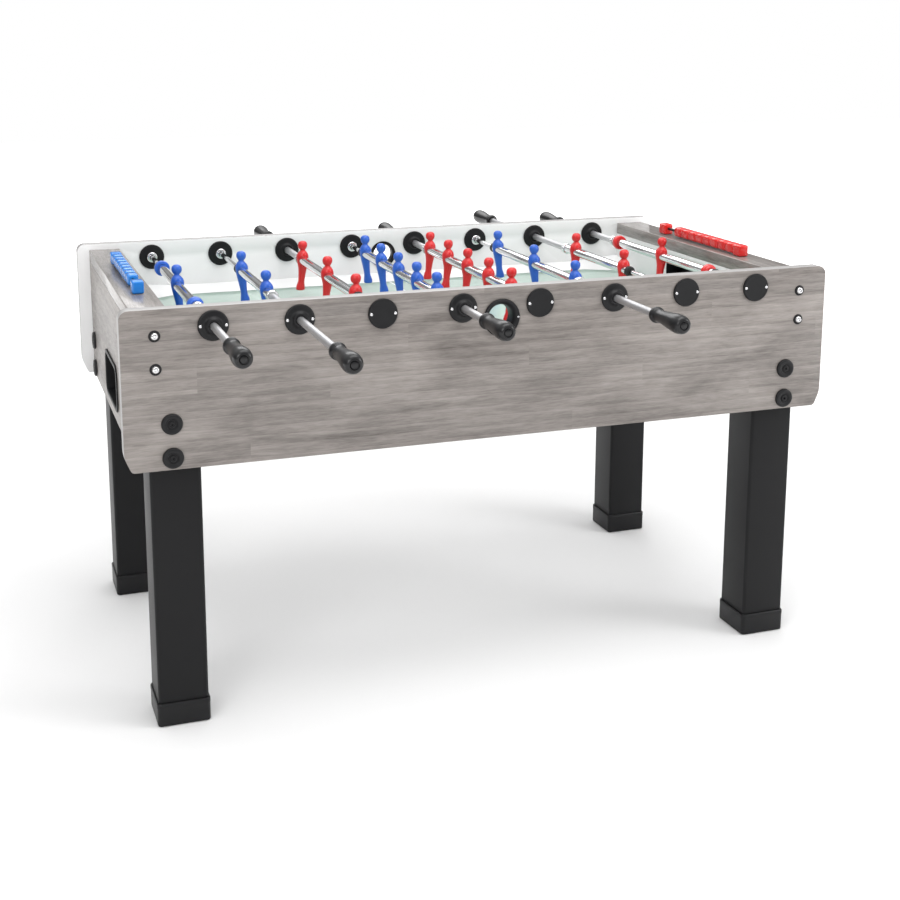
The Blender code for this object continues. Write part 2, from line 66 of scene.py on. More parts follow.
# Places that come from the frame
FRONT_LOW, FRONT_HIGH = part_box("side_panel_front")
END_LOW, END_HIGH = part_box("end_panel_right")
LEDGE_LOW, LEDGE_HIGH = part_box("end_ledge_right")
GOAL_LOW, GOAL_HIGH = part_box("goal_wall_right")
GLASS_LOW, GLASS_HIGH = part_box("playfield_glass")
ENTRY_LOW, ENTRY_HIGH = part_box("ball_entry_front")
RETURN_LOW, RETURN_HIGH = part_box("ball_return_right")
RAIL_LOW, RAIL_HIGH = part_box("scorer_right_rail")
HALF_LENGTH = FRONT_HIGH.x
OUTER_Y = -FRONT_LOW.y
INNER_Y = -FRONT_HIGH.y
PANEL_THICK = OUTER_Y - INNER_Y
PANEL_TOP = FRONT_HIGH.z
PANEL_BOTTOM = FRONT_LOW.z
FIELD_TOP = GLASS_HIGH.z
GAP = 0.0003

JOINTS = {joint["name"]: joint for joint in frame["joints"]}
ROD_COUNT = 8
ROD_Z = JOINTS["rod1_turn"]["pos_m"][2]
# Figures along each rod, and how far its tube reaches towards the grip and towards the guide
LAYOUTS = {
    1: {"figures": (0.0,), "reach": 0.235, "tail": 0.235},
    2: {"figures": (-0.1175, 0.1175), "reach": 0.170, "tail": 0.150},
    3: {"figures": (-0.207, 0.0, 0.207), "reach": 0.232, "tail": 0.232},
    5: {"figures": (-0.240, -0.120, 0.0, 0.120, 0.240), "reach": 0.265, "tail": 0.265},
}
FIGURE_COUNTS = (1, 2, 3, 5, 5, 3, 2, 1)
STOP_RING_AT = 0.205

UPRIGHT = Matrix.Rotation(math.radians(90), 4, "X")
HALF_TURN = Matrix.Rotation(math.radians(180), 4, "Z")
QUARTER_TURN = Matrix.Rotation(math.radians(90), 4, "Z")
STANDING = Matrix.Rotation(math.radians(-90), 4, "X")
NO_TURN = Matrix.Identity(4)

PROPS = bpy.props


# ---------------------------------------------------------------- settings


class FoosballSizes(bpy.types.PropertyGroup):
    edge_round: PROPS.FloatProperty(
        name="Edge round", description="Radius on the boards' edges", default=0.0012, unit="LENGTH"
    )
    disc_radius: PROPS.FloatProperty(
        name="Disc radius", description="Radius of the black discs round the rods", default=0.027, unit="LENGTH"
    )
    disc_thick: PROPS.FloatProperty(
        name="Disc thickness", description="How far a disc stands off its panel", default=0.0045, unit="LENGTH"
    )
    tube_radius: PROPS.FloatProperty(
        name="Tube radius", description="Radius of the tube that carries the figures", default=0.0095, unit="LENGTH"
    )
    handle_radius: PROPS.FloatProperty(
        name="Handle tube radius", description="Radius of the tube to the grip", default=0.0070, unit="LENGTH"
    )
    guide_radius: PROPS.FloatProperty(
        name="Guide rod radius", description="Radius of the thin guide rod", default=0.0050, unit="LENGTH"
    )
    line_width: PROPS.FloatProperty(
        name="Line width", description="Width of the lines on the field", default=0.004, unit="LENGTH"
    )
    lens: PROPS.FloatProperty(name="Lens", description="Focal length of the camera in mm", default=56.46)


def colour_property(name, description, default):
    return PROPS.FloatVectorProperty(
        name=name, description=description, default=default, subtype="COLOR", min=0.0, max=1.0
    )


class FoosballColours(bpy.types.PropertyGroup):
    oak_light: colour_property("Light oak", "Pale part of the grain", (0.37, 0.335, 0.312))
    oak_dark: colour_property("Dark oak", "Dark part of the grain", (0.062, 0.052, 0.046))
    white: colour_property("White laminate", "Inner faces and ramps", (0.76, 0.76, 0.76))
    band: colour_property("Edge band", "Band on the boards' edges", (0.36, 0.35, 0.345))
    field: colour_property("Field", "Frosted playing field", (0.34, 0.48, 0.41))
    blue: colour_property("Blue team", "Blue figures", (0.016, 0.105, 0.52))
    red: colour_property("Red team", "Red figures", (0.62, 0.012, 0.014))
    blue_bead: colour_property("Blue scorer", "Blue beads", (0.012, 0.20, 0.66))
    red_bead: colour_property("Red scorer", "Red beads", (0.68, 0.014, 0.012))
    black: colour_property("Black plastic", "Discs, grips and caps", (0.0075, 0.0075, 0.0085))
    powder: colour_property("Black coat", "Powder coat of the legs", (0.0070, 0.0070, 0.0078))
    floor: colour_property("Floor", "Floor under the table", (0.86, 0.86, 0.86))


def sizes():
    return bpy.context.scene.foosball_sizes


def colours():
    return bpy.context.scene.foosball_colours


# ---------------------------------------------------------------- shader node helpers


def add_node(tree, kind, values=None, **settings):
    node = tree.nodes.new(kind)
    for name, value in settings.items():
        setattr(node, name, value)
    for name, value in (values or {}).items():
        node.inputs[name].default_value = value
    return node


def math_node(tree, operation, first, second):
    node = add_node(tree, "ShaderNodeMath", operation=operation)
    for socket, value in zip(node.inputs, (first, second)):
        if isinstance(value, (int, float)):
            socket.default_value = value
        else:
            tree.links.new(value, socket)
    return node.outputs[0]


def new_group(name, inputs, outputs):
    """A shader group with named float, colour or vector inputs and outputs."""
    tree = bpy.data.node_groups.new(name, "ShaderNodeTree")
    for socket_name, kind, default in inputs:
        socket = tree.interface.new_socket(socket_name, in_out="INPUT", socket_type=kind)
        if default is not None:
            socket.default_value = default
    for socket_name, kind in outputs:
        tree.interface.new_socket(socket_name, in_out="OUTPUT", socket_type=kind)
    return tree, tree.nodes.new("NodeGroupInput"), tree.nodes.new("NodeGroupOutput")


FLOAT, COLOUR, VECTOR = "NodeSocketFloat", "NodeSocketColor", "NodeSocketVector"


def moulded_group():
    """Slow colour and gloss changes with a fine grain, as on moulded or painted surfaces."""
    name = "moulded_surface"
    if name in bpy.data.node_groups:
        return bpy.data.node_groups[name]
    tree, given, made = new_group(
        name,
        [
            ("Color", COLOUR, (0.5, 0.5, 0.5, 1.0)),
            ("Tone", FLOAT, 0.1),
            ("Gloss", FLOAT, 0.35),
            ("Gloss change", FLOAT, 0.1),
            ("Patch scale", FLOAT, 18.0),
            ("Grain scale", FLOAT, 900.0),
        ],
        [("Color", COLOUR), ("Roughness", FLOAT), ("Height", FLOAT)],
    )
    place = add_node(tree, "ShaderNodeTexCoord").outputs["Object"]
    patch = add_node(tree, "ShaderNodeTexNoise", {"Detail": 4.0, "Roughness": 0.55})
    grain = add_node(tree, "ShaderNodeTexNoise", {"Detail": 3.0, "Roughness": 0.6})
    for noise, scale in ((patch, "Patch scale"), (grain, "Grain scale")):
        tree.links.new(place, noise.inputs["Vector"])
        tree.links.new(given.outputs[scale], noise.inputs["Scale"])
    centred = math_node(tree, "SUBTRACT", patch.outputs["Fac"], 0.5)
    tone = math_node(tree, "ADD", math_node(tree, "MULTIPLY", centred, given.outputs["Tone"]), 1.0)
    shade = add_node(tree, "ShaderNodeHueSaturation")
    tree.links.new(given.outputs["Color"], shade.inputs["Color"])
    tree.links.new(tone, shade.inputs["Value"])
    change = math_node(tree, "MULTIPLY", centred, given.outputs["Gloss change"])
    tree.links.new(shade.outputs["Color"], made.inputs["Color"])
    tree.links.new(math_node(tree, "ADD", given.outputs["Gloss"], change), made.inputs["Roughness"])
    tree.links.new(grain.outputs["Fac"], made.inputs["Height"])
    return tree


def stretched(tree, vector, scale):
    mapping = add_node(tree, "ShaderNodeMapping", {"Scale": scale})
    tree.links.new(vector, mapping.inputs["Vector"])
    return mapping.outputs["Vector"]


def noise_of(tree, vector, scale, detail, rough=0.5, distortion=0.0):
    noise = add_node(
        tree,
        "ShaderNodeTexNoise",
        {"Scale": scale, "Detail": detail, "Roughness": rough, "Distortion": distortion},
    )
    tree.links.new(vector, noise.inputs["Vector"])
    return noise.outputs["Fac"]


def ramp_of(tree, value, low, high):
    """The value stretched so that low becomes 0 and high becomes 1."""
    spread = add_node(tree, "ShaderNodeMapRange", {"From Min": low, "From Max": high})
    tree.links.new(value, spread.inputs["Value"])
    return spread.outputs["Result"]


def oak_group():
    """Printed oak in staves, its grain along X of the vector that it is given."""
    name = "oak_grain"
    if name in bpy.data.node_groups:
        return bpy.data.node_groups[name]
    tree, given, made = new_group(
        name,
        [
            ("Vector", VECTOR, None),
            ("Light", COLOUR, (0.4, 0.4, 0.4, 1.0)),
            ("Dark", COLOUR, (0.15, 0.15, 0.15, 1.0)),
        ],
        [("Color", COLOUR), ("Roughness", FLOAT), ("Height", FLOAT)],
    )
    parts = add_node(tree, "ShaderNodeSeparateXYZ")
    tree.links.new(given.outputs["Vector"], parts.inputs[0])
    along = parts.outputs["X"]
    across = math_node(tree, "ADD", parts.outputs["Y"], parts.outputs["Z"])

    # Staves: rows of boards whose joints are staggered, each with its own tone and its own grain.
    row = math_node(tree, "FLOOR", math_node(tree, "DIVIDE", across, 0.047), 0.0)
    staggered = math_node(tree, "ADD", along, math_node(tree, "MULTIPLY", row, 0.233))
    stave = math_node(tree, "FLOOR", math_node(tree, "DIVIDE", staggered, 0.61), 0.0)
    label = add_node(tree, "ShaderNodeCombineXYZ")
    tree.links.new(row, label.inputs["X"])
    tree.links.new(stave, label.inputs["Y"])
    random = add_node(tree, "ShaderNodeTexWhiteNoise", noise_dimensions="2D")
    tree.links.new(label.outputs[0], random.inputs["Vector"])
    stave_tone = random.outputs["Value"]

    flat = add_node(tree, "ShaderNodeCombineXYZ")
    tree.links.new(along, flat.inputs["X"])
    tree.links.new(across, flat.inputs["Y"])
    tree.links.new(math_node(tree, "MULTIPLY", stave_tone, 0.06), flat.inputs["Z"])
    sheet = flat.outputs[0]

    streaks = ramp_of(tree, noise_of(tree, stretched(tree, sheet, (5, 52, 20)), 1.0, 9.0, 0.66, 0.9), 0.30, 0.70)
    fibres = ramp_of(tree, noise_of(tree, stretched(tree, sheet, (42, 520, 60)), 1.0, 4.0, 0.65), 0.34, 0.60)
    clouds = ramp_of(tree, noise_of(tree, stretched(tree, sheet, (4.2, 11, 8)), 1.0, 4.0, 0.55, 0.6), 0.32, 0.68)
    wave = add_node(
        tree,
        "ShaderNodeTexWave",
        {"Scale": 1.0, "Distortion": 7.0, "Detail": 3.0, "Detail Scale": 0.7, "Detail Roughness": 0.55},
        wave_type="BANDS",
        bands_direction="Y",
        wave_profile="SAW",
    )
    tree.links.new(stretched(tree, sheet, (1.15, 17, 1)), wave.inputs["Vector"])
    figure = wave.outputs["Fac"]

    # Knots are rare dark spots drawn out along the grain.
    cells = add_node(tree, "ShaderNodeTexVoronoi", {"Scale": 1.0, "Randomness": 1.0})
    tree.links.new(stretched(tree, sheet, (3.1, 8.2, 1)), cells.inputs["Vector"])
    knot = ramp_of(tree, cells.outputs["Distance"], 0.02, 0.13)

    weights = ((streaks, 0.36), (figure, 0.16), (clouds, 0.34), (fibres, 0.18))
    total = math_node(tree, "MULTIPLY", stave_tone, 0.14)
    for value, weight in weights:
        total = math_node(tree, "ADD", total, math_node(tree, "MULTIPLY", value, weight))
    total = math_node(tree, "SUBTRACT", total, 0.08)
    dimmed = math_node(tree, "ADD", math_node(tree, "MULTIPLY", knot, 0.35), 0.65)
    total = math_node(tree, "MULTIPLY", total, dimmed)

    colour = add_node(tree, "ShaderNodeMix", data_type="RGBA", clamp_factor=True)
    tree.links.new(total, colour.inputs["Factor"])
    tree.links.new(given.outputs["Dark"], colour.inputs["A"])
    tree.links.new(given.outputs["Light"], colour.inputs["B"])
    tree.links.new(colour.outputs["Result"], made.inputs["Color"])
    rough = math_node(tree, "SUBTRACT", 0.50, math_node(tree, "MULTIPLY", fibres, 0.12))
    tree.links.new(rough, made.inputs["Roughness"])
    depth = math_node(tree, "ADD", math_node(tree, "MULTIPLY", fibres, 0.6), math_node(tree, "MULTIPLY", streaks, 0.4))
    tree.links.new(depth, made.inputs["Height"])
    return tree


def new_material(name):
    material = bpy.data.materials.new(name)
    material.use_nodes = True
    tree = material.node_tree
    return material, tree, tree.nodes["Principled BSDF"]


def add_bump(tree, shader, height, strength, distance):
    bump = add_node(tree, "ShaderNodeBump", {"Strength": strength, "Distance": distance})
    tree.links.new(height, bump.inputs["Height"])
    tree.links.new(bump.outputs["Normal"], shader.inputs["Normal"])


def moulded(name, colour, gloss, tone=0.12, change=0.12, patch=18.0, grain=900.0, bump=0.12, depth=0.0002, **shader_values):
    material, tree, shader = new_material(name)
    surface = add_node(
        tree,
        "ShaderNodeGroup",
        node_tree=moulded_group(),
    )
    given = {
        "Color": (*colour, 1.0),
        "Tone": tone,
        "Gloss": gloss,
        "Gloss change": change,
        "Patch scale": patch,
        "Grain scale": grain,
    }
    for socket, value in given.items():
        surface.inputs[socket].default_value = value
    tree.links.new(surface.outputs["Color"], shader.inputs["Base Color"])
    tree.links.new(surface.outputs["Roughness"], shader.inputs["Roughness"])
    add_bump(tree, shader, surface.outputs["Height"], bump, depth)
    for socket, value in shader_values.items():
        shader.inputs[socket.replace("_", " ")].default_value = value
    return material


def oak(name, turned, coat):
    """Grey oak laminate. Turned, its grain runs along Y instead of X."""
    material, tree, shader = new_material(name)
    place = add_node(tree, "ShaderNodeTexCoord").outputs["Object"]
    if turned:
        mapping = add_node(tree, "ShaderNodeMapping", {"Rotation": (0, 0, math.radians(90))})
        tree.links.new(place, mapping.inputs["Vector"])
        place = mapping.outputs["Vector"]
    grain = add_node(tree, "ShaderNodeGroup", node_tree=oak_group())
    tree.links.new(place, grain.inputs["Vector"])
    grain.inputs["Light"].default_value = (*colours().oak_light, 1.0)
    grain.inputs["Dark"].default_value = (*colours().oak_dark, 1.0)
    tree.links.new(grain.outputs["Color"], shader.inputs["Base Color"])
    tree.links.new(grain.outputs["Roughness"], shader.inputs["Roughness"])
    shader.inputs["Coat Weight"].default_value = coat
    shader.inputs["Coat Roughness"].default_value = 0.12
    add_bump(tree, shader, grain.outputs["Height"], 0.20, 0.0002)
    return material


def brushed(name, colour, gloss, stretch):
    """Bright metal with fine marks that run round the rod, drawn out by the given scale."""
    material, tree, shader = new_material(name)
    place = add_node(tree, "ShaderNodeTexCoord").outputs["Object"]
    marks = noise_of(tree, stretched(tree, place, stretch), 1.0, 4.0, 0.6)
    haze = noise_of(tree, place, 22.0, 3.0)
    rough = math_node(tree, "ADD", math_node(tree, "MULTIPLY", marks, 0.14), gloss)
    rough = math_node(tree, "ADD", rough, math_node(tree, "MULTIPLY", haze, 0.06))
    tree.links.new(rough, shader.inputs["Roughness"])
    tone = add_node(tree, "ShaderNodeMix", data_type="RGBA")
    tone.inputs["A"].default_value = (*(value * 0.86 for value in colour), 1.0)
    tone.inputs["B"].default_value = (*colour, 1.0)
    tree.links.new(marks, tone.inputs["Factor"])
    tree.links.new(tone.outputs["Result"], shader.inputs["Base Color"])
    shader.inputs["Metallic"].default_value = 1.0
    add_bump(tree, shader, marks, 0.05, 0.0001)
    return material


FINISHES = {
    "oak_long": lambda: oak("oak_long", False, 0.10),
    "oak_cross": lambda: oak("oak_cross", True, 0.10),
    "oak_ledge": lambda: oak("oak_ledge", True, 0.60),
    "white": lambda: moulded("white", colours().white, 0.30, 0.04, 0.10, 6.0, 240.0, 0.03, Coat_Weight=0.25),
    "band": lambda: moulded("band", colours().band, 0.42, 0.08, 0.10, 30.0, 500.0, 0.05),
    "field": lambda: moulded("field", colours().field, 0.34, 0.05, 0.10, 5.0, 1400.0, 0.10, Coat_Weight=0.35),
    "line": lambda: moulded("line", (0.80, 0.82, 0.81), 0.45, 0.06, 0.1, 60.0, 900.0, 0.05),
    "black": lambda: moulded("black", colours().black, 0.44, 0.5, 0.16, 40.0, 1500.0, 0.30, Specular_IOR_Level=0.25),
    "grip": lambda: moulded("grip", colours().black, 0.30, 0.5, 0.14, 30.0, 800.0, 0.10, Specular_IOR_Level=0.35, Coat_Weight=0.1),
    "powder": lambda: moulded("powder", colours().powder, 0.42, 0.4, 0.12, 9.0, 1100.0, 0.3, 0.0003, Specular_IOR_Level=0.22),
    "cap": lambda: moulded("cap", colours().black, 0.40, 0.5, 0.16, 25.0, 700.0, 0.22, Specular_IOR_Level=0.28),
    "rubber": lambda: moulded("rubber", (0.014, 0.014, 0.014), 0.62, 0.4, 0.10, 40.0, 1200.0, 0.25),
    "blue": lambda: moulded("blue", colours().blue, 0.34, 0.16, 0.14, 60.0, 700.0, 0.10, Coat_Weight=0.15),
    "red": lambda: moulded("red", colours().red, 0.34, 0.16, 0.14, 60.0, 700.0, 0.10, Coat_Weight=0.15),
    "blue_bead": lambda: moulded("blue_bead", colours().blue_bead, 0.24, 0.12, 0.1, 60.0, 600.0, 0.06, Coat_Weight=0.3),
    "red_bead": lambda: moulded("red_bead", colours().red_bead, 0.24, 0.12, 0.1, 60.0, 600.0, 0.06, Coat_Weight=0.3),
    "chrome": lambda: brushed("chrome", (0.50, 0.50, 0.51), 0.06, (60, 400, 60)),
    "steel": lambda: brushed("steel", (0.060, 0.060, 0.063), 0.26, (60, 900, 60)),
    "screw": lambda: brushed("screw", (0.74, 0.74, 0.75), 0.14, (900, 900, 900)),
    # Painted shade: the matte near-black finish on the end panels' inner faces stands in for the shade inside the
    # cabinet's ends
    "dark": lambda: moulded("dark", (0.012, 0.012, 0.012), 0.70, 0.3, 0.1, 20.0, 300.0, 0.1),
}


def finish(name):
    return bpy.data.materials.get(name) or FINISHES[name]()


# ---------------------------------------------------------------- shapes


def arc(centre, radius, start, end, steps):
    points = []
    for i in range(steps + 1):
        angle = math.radians(start + (end - start) * i / steps)
        points.append((centre[0] + radius * math.cos(angle), centre[1] + radius * math.sin(angle)))
    return points


def circle(radius, centre=(0.0, 0.0), steps=48):
    return arc(centre, radius, 0, 360, steps)[:-1]


def rounded_box(half_width, half_height, radius, centre=(0.0, 0.0), steps=6):
    points = []
    for i, (x, y) in enumerate(((1, 1), (-1, 1), (-1, -1), (1, -1))):
        corner = (centre[0] + x * (half_width - radius), centre[1] + y * (half_height - radius))
        points += arc(corner, radius, 90 * i, 90 * (i + 1), steps)
    return points


def softened(points, steps=4):
    """A profile whose points may carry a third value, the length over which that corner is rounded."""
    result = []
    for i, point in enumerate(points):
        if len(point) < 3 or i in (0, len(points) - 1):
            result.append(tuple(point[:2]))
            continue
        here = Vector(point[:2])
        before = here + (Vector(points[i - 1][:2]) - here).normalized() * point[2]
        after = here + (Vector(points[i + 1][:2]) - here).normalized() * point[2]
        for step in range(steps + 1):
            t = step / steps
            result.append(tuple(before.lerp(here, t).lerp(here.lerp(after, t), t)))
    return result


def flowing(points, steps=5):
    """A smooth profile through its points."""
    spots = [Vector(point) for point in (points[0], *points, points[-1])]
    result = []
    for a, b, c, d in zip(spots, spots[1:], spots[2:], spots[3:]):
        for step in range(steps):
            t = step / steps
            bend = 2 * a - 5 * b + 4 * c - d
            twist = 3 * b - a - 3 * c + d
            result.append(tuple(0.5 * (2 * b + (c - a) * t + bend * t * t + twist * t**3)))
    return result + [tuple(points[-1])]


def turned(profile, steps=48, ring=False):
    """A profile of (radius, height) points spun about Z. A ring's profile is a closed loop."""
    bm = bmesh.new()
    verts = [bm.verts.new((radius, 0, height)) for radius, height in profile]
    edges = [bm.edges.new(pair) for pair in zip(verts, verts[1:])]
    if ring:
        edges.append(bm.edges.new((verts[-1], verts[0])))
    bmesh.ops.spin(
        bm,
        geom=verts + edges,
        cent=(0, 0, 0),
        axis=(0, 0, 1),
        angle=math.tau,
        steps=steps,
        use_merge=True,
    )
    bmesh.ops.remove_doubles(bm, verts=bm.verts, dist=0.000002)
    bmesh.ops.recalc_face_normals(bm, faces=bm.faces)
    return bm


def rims(bm, angle=50.0):
    limit = math.radians(angle)
    return [edge for edge in bm.edges if len(edge.link_faces) == 2 and edge.calc_face_angle() > limit]


def soften_rims(bm, offset, segments=2):
    bmesh.ops.bevel(
        bm,
        geom=rims(bm),
        offset=offset,
        offset_type="OFFSET",
        affect="EDGES",
        segments=segments,
        profile=0.5,
        material=-1,
        clamp_overlap=True,
    )


def board(outline, holes, low, high, soft=0.0):
    """A flat board between two heights of its own Z, with holes right through it."""
    bm = bmesh.new()
    for loop in (outline, *holes):
        verts = [bm.verts.new((x, y, low)) for x, y in loop]
        for first, second in zip(verts, verts[1:] + verts[:1]):
            bm.edges.new((first, second))
    if holes:
        bmesh.ops.triangle_fill(bm, use_beauty=True, edges=bm.edges[:])
    else:
        bm.faces.new(bm.verts)
    grown = bmesh.ops.extrude_face_region(bm, geom=bm.faces[:])
    raised = [item for item in grown["geom"] if isinstance(item, bmesh.types.BMVert)]
    bmesh.ops.translate(bm, vec=(0, 0, high - low), verts=raised)
    bmesh.ops.recalc_face_normals(bm, faces=bm.faces)
    if soft > 0:
        soften_rims(bm, soft)
    return bm


def block(low, high, soft, segments=3):
    low, high = Vector(low), Vector(high)
    bm = bmesh.new()
    bmesh.ops.create_cube(bm, size=1.0)
    bmesh.ops.scale(bm, vec=high - low, verts=bm.verts)
    bmesh.ops.translate(bm, vec=(low + high) / 2, verts=bm.verts)
    soften_rims(bm, soft, segments)
    return bm


def ring_edges(verts):
    held = set(verts)
    return [edge for vert in verts for edge in vert.link_edges if set(edge.verts) <= held]


def lofted(rings, closed=False):
    """A skin over rings of points. It is capped at both ends, or closed round on itself."""
    bm = bmesh.new()
    loops = []
    for ring in rings:
        verts = [bm.verts.new(point) for point in ring]
        edges = [bm.edges.new(pair) for pair in zip(verts, verts[1:] + verts[:1])]
        loops.append((verts, edges))
    pairs = list(zip(loops, loops[1:]))
    if closed:
        pairs.append((loops[-1], loops[0]))
    for lower, upper in pairs:
        bmesh.ops.bridge_loops(bm, edges=lower[1] + upper[1])
    if not closed:
        bm.faces.new(loops[0][0])
        bm.faces.new(loops[-1][0])
    bmesh.ops.recalc_face_normals(bm, faces=bm.faces)
    return bm


def gathered(parts):
    """One mesh from (mesh, place, material index) parts."""
    whole = bmesh.new()
    for part, place, index in parts:
        if index is not None:
            for face in part.faces:
                face.material_index = index
        bmesh.ops.transform(part, matrix=place, verts=part.verts)
        if place.determinant() < 0:
            bmesh.ops.reverse_faces(part, faces=part.faces)
        carried = bpy.data.meshes.new("carried")
        part.to_mesh(carried)
        part.free()
        whole.from_mesh(carried)
        bpy.data.meshes.remove(carried)
    return whole


def new_piece(name, bm, body, finishes, replaced=(), sharp=38.0):
    mesh = bpy.data.meshes.new(name)
    bm.to_mesh(mesh)
    bm.free()
    for finish_name in finishes:
        mesh.materials.append(finish(finish_name))
    mesh.shade_smooth()
    mesh.set_sharp_from_angle(angle=math.radians(sharp))
    obj = bpy.data.objects.new(name, mesh)
    bpy.context.scene.collection.objects.link(obj)
    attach(obj, body)
    if replaced:
        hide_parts(*replaced)
    return obj


# ---------------------------------------------------------------- places


def rod_axis(number):
    """The X of a rod, and whether its grip is on the front (-1) or the rear (1)."""
    joint = JOINTS[f"rod{number}_turn"]
    return joint["pos_m"][0], int(joint["axis"][1])


def rod_place(number):
    """A rod's own axes: Z towards its grip, Y up and X the way its figures face."""
    x, side = rod_axis(number)
    turn = UPRIGHT if side < 0 else HALF_TURN @ UPRIGHT
    return Matrix.Translation((x, 0, ROD_Z)) @ turn


def on_side(side, x, z):
    """On the outer face of the front (-1) or rear (1) panel, with Z pointing out."""
    turn = UPRIGHT if side < 0 else HALF_TURN @ UPRIGHT
    return Matrix.Translation((x, side * OUTER_Y, z)) @ turn


def on_end(side, y, z):
    """On the outer face of the left (-1) or right (1) end panel, with Z pointing out."""
    turn = QUARTER_TURN if side > 0 else QUARTER_TURN @ HALF_TURN
    return Matrix.Translation((side * END_HIGH.x, y, z)) @ turn @ UPRIGHT


# ---------------------------------------------------------------- cabinet


def mark_faces(bm, outer, outer_index, inner_index, edge_index):
    """Sets a material on the faces that look along a direction, against it, and on the edges."""
    direction = Vector(outer)
    for face in bm.faces:
        along = face.normal.dot(direction)
        if along > 0.9:
            face.material_index = outer_index
        elif along < -0.9:
            face.material_index = inner_index
        else:
            face.material_index = edge_index


def build_side_panels():
    half_height = (PANEL_TOP - PANEL_BOTTOM) / 2
    corner = 0.016
    cut_x, cut_z = 0.012, 0.028
    outline = arc((HALF_LENGTH - corner, half_height - corner), corner, 0, 90, 14)
    outline += arc((corner - HALF_LENGTH, half_height - corner), corner, 90, 180, 14)
    lower = softened(
        [
            (-HALF_LENGTH, 0.0),
            (-HALF_LENGTH, cut_z - half_height, 0.010),
            (cut_x - HALF_LENGTH, -half_height, 0.006),
            (HALF_LENGTH - cut_x, -half_height, 0.006),
            (HALF_LENGTH, cut_z - half_height, 0.010),
            (HALF_LENGTH, 0.0),
        ]
    )
    outline += lower
    middle = PANEL_BOTTOM + half_height
    for name, side in (("side_panel_front", -1), ("side_panel_rear", 1)):
        holes = [circle(0.0300, (0, (ENTRY_LOW.z + ENTRY_HIGH.z) / 2 - middle))]
        for number in range(1, ROD_COUNT + 1):
            x, grip_side = rod_axis(number)
            radius = 0.0078 if grip_side == side else 0.0056
            turned_x = x if side < 0 else -x
            holes.append(circle(radius, (turned_x, ROD_Z - middle), 32))
        bm = board(outline, holes, -PANEL_THICK, 0.0, sizes().edge_round)
        bmesh.ops.transform(bm, matrix=on_side(side, 0, middle), verts=bm.verts)
        mark_faces(bm, (0, side, 0), 0, 1, 2)
        new_piece(f"{name}_board", bm, "cabinet", ("oak_long", "white", "band"), (name,))


def build_end_panels():
    half_height = (END_HIGH.z - END_LOW.z) / 2
    middle = END_LOW.z + half_height
    half_y = END_HIGH.y
    opening = rounded_box(0.0875, 0.040, 0.018, (0, (RETURN_LOW.z + RETURN_HIGH.z) / 2 - middle))
    for name, side in (("end_panel_left", -1), ("end_panel_right", 1)):
        thick = END_HIGH.x - END_LOW.x
        bm = board(rounded_box(half_y, half_height, 0.0015, steps=2), [opening], -thick, 0.0, 0.0006)
        bmesh.ops.transform(bm, matrix=on_end(side, 0, middle), verts=bm.verts)
        mark_faces(bm, (side, 0, 0), 0, 1, 2)
        # The inner faces take the near-black matte finish, painted shade for the inside of the cabinet's ends
        new_piece(f"{name}_board", bm, "cabinet", ("oak_cross", "dark", "band"), (name,))


def build_end_ledges():
    half_x = (LEDGE_HIGH.x - LEDGE_LOW.x) / 2
    middle = (LEDGE_HIGH.x + LEDGE_LOW.x) / 2
    for name, side in (("end_ledge_left", -1), ("end_ledge_right", 1)):
        bm = board(rounded_box(half_x, LEDGE_HIGH.y, 0.0015, steps=2), [], LEDGE_LOW.z, LEDGE_HIGH.z, sizes().edge_round)
        bmesh.ops.translate(bm, vec=(side * middle, 0, 0), verts=bm.verts)
        mark_faces(bm, (0, 0, -1), 1, 0, 0)
        new_piece(f"{name}_board", bm, "cabinet", ("oak_ledge", "white"), (name,))


def build_goal_walls():
    half_height = (GOAL_HIGH.z - GOAL_LOW.z) / 2
    middle = GOAL_LOW.z + half_height
    thick = GOAL_HIGH.x - GOAL_LOW.x
    goal_half, goal_height, corner = 0.100, 0.064, 0.018
    centre = (0, FIELD_TOP + goal_height / 2 - middle)
    for name, side in (("goal_wall_left", -1), ("goal_wall_right", 1)):
        opening = rounded_box(goal_half, goal_height / 2, corner, centre)
        bm = board(rounded_box(GOAL_HIGH.y, half_height, 0.001, steps=2), [opening], -thick, 0.0, 0.0006)
        turn = QUARTER_TURN if side > 0 else QUARTER_TURN @ HALF_TURN
        place = Matrix.Translation((side * GOAL_HIGH.x, 0, middle)) @ turn @ UPRIGHT
        bmesh.ops.transform(bm, matrix=place, verts=bm.verts)
        new_piece(f"{name}_board", bm, "cabinet", ("white",), (name,))
        inner = rounded_box(goal_half - 0.0018, goal_height / 2 - 0.0018, corner - 0.0018, centre)
        outer = rounded_box(goal_half - GAP, goal_height / 2 - GAP, corner - GAP, centre)
        liner = board(outer, [inner], -thick - 0.0010, 0.020, 0.0004)
        bmesh.ops.transform(liner, matrix=place, verts=liner.verts)
        new_piece(f"{name}_liner", liner, "cabinet", ("black",))


def line_ring(radius):
    width = sizes().line_width
    return board(circle(radius, steps=96), [circle(radius - width, steps=96)], FIELD_TOP, FIELD_TOP + 0.0002)


def line_strip(x0, y0, x1, y1):
    half = sizes().line_width / 2
    low = (min(x0, x1) - half, min(y0, y1) - half)
    high = (max(x0, x1) + half, max(y0, y1) + half)
    corners = [low, (high[0], low[1]), high, (low[0], high[1])]
    return board(corners, [], FIELD_TOP, FIELD_TOP + 0.00015)


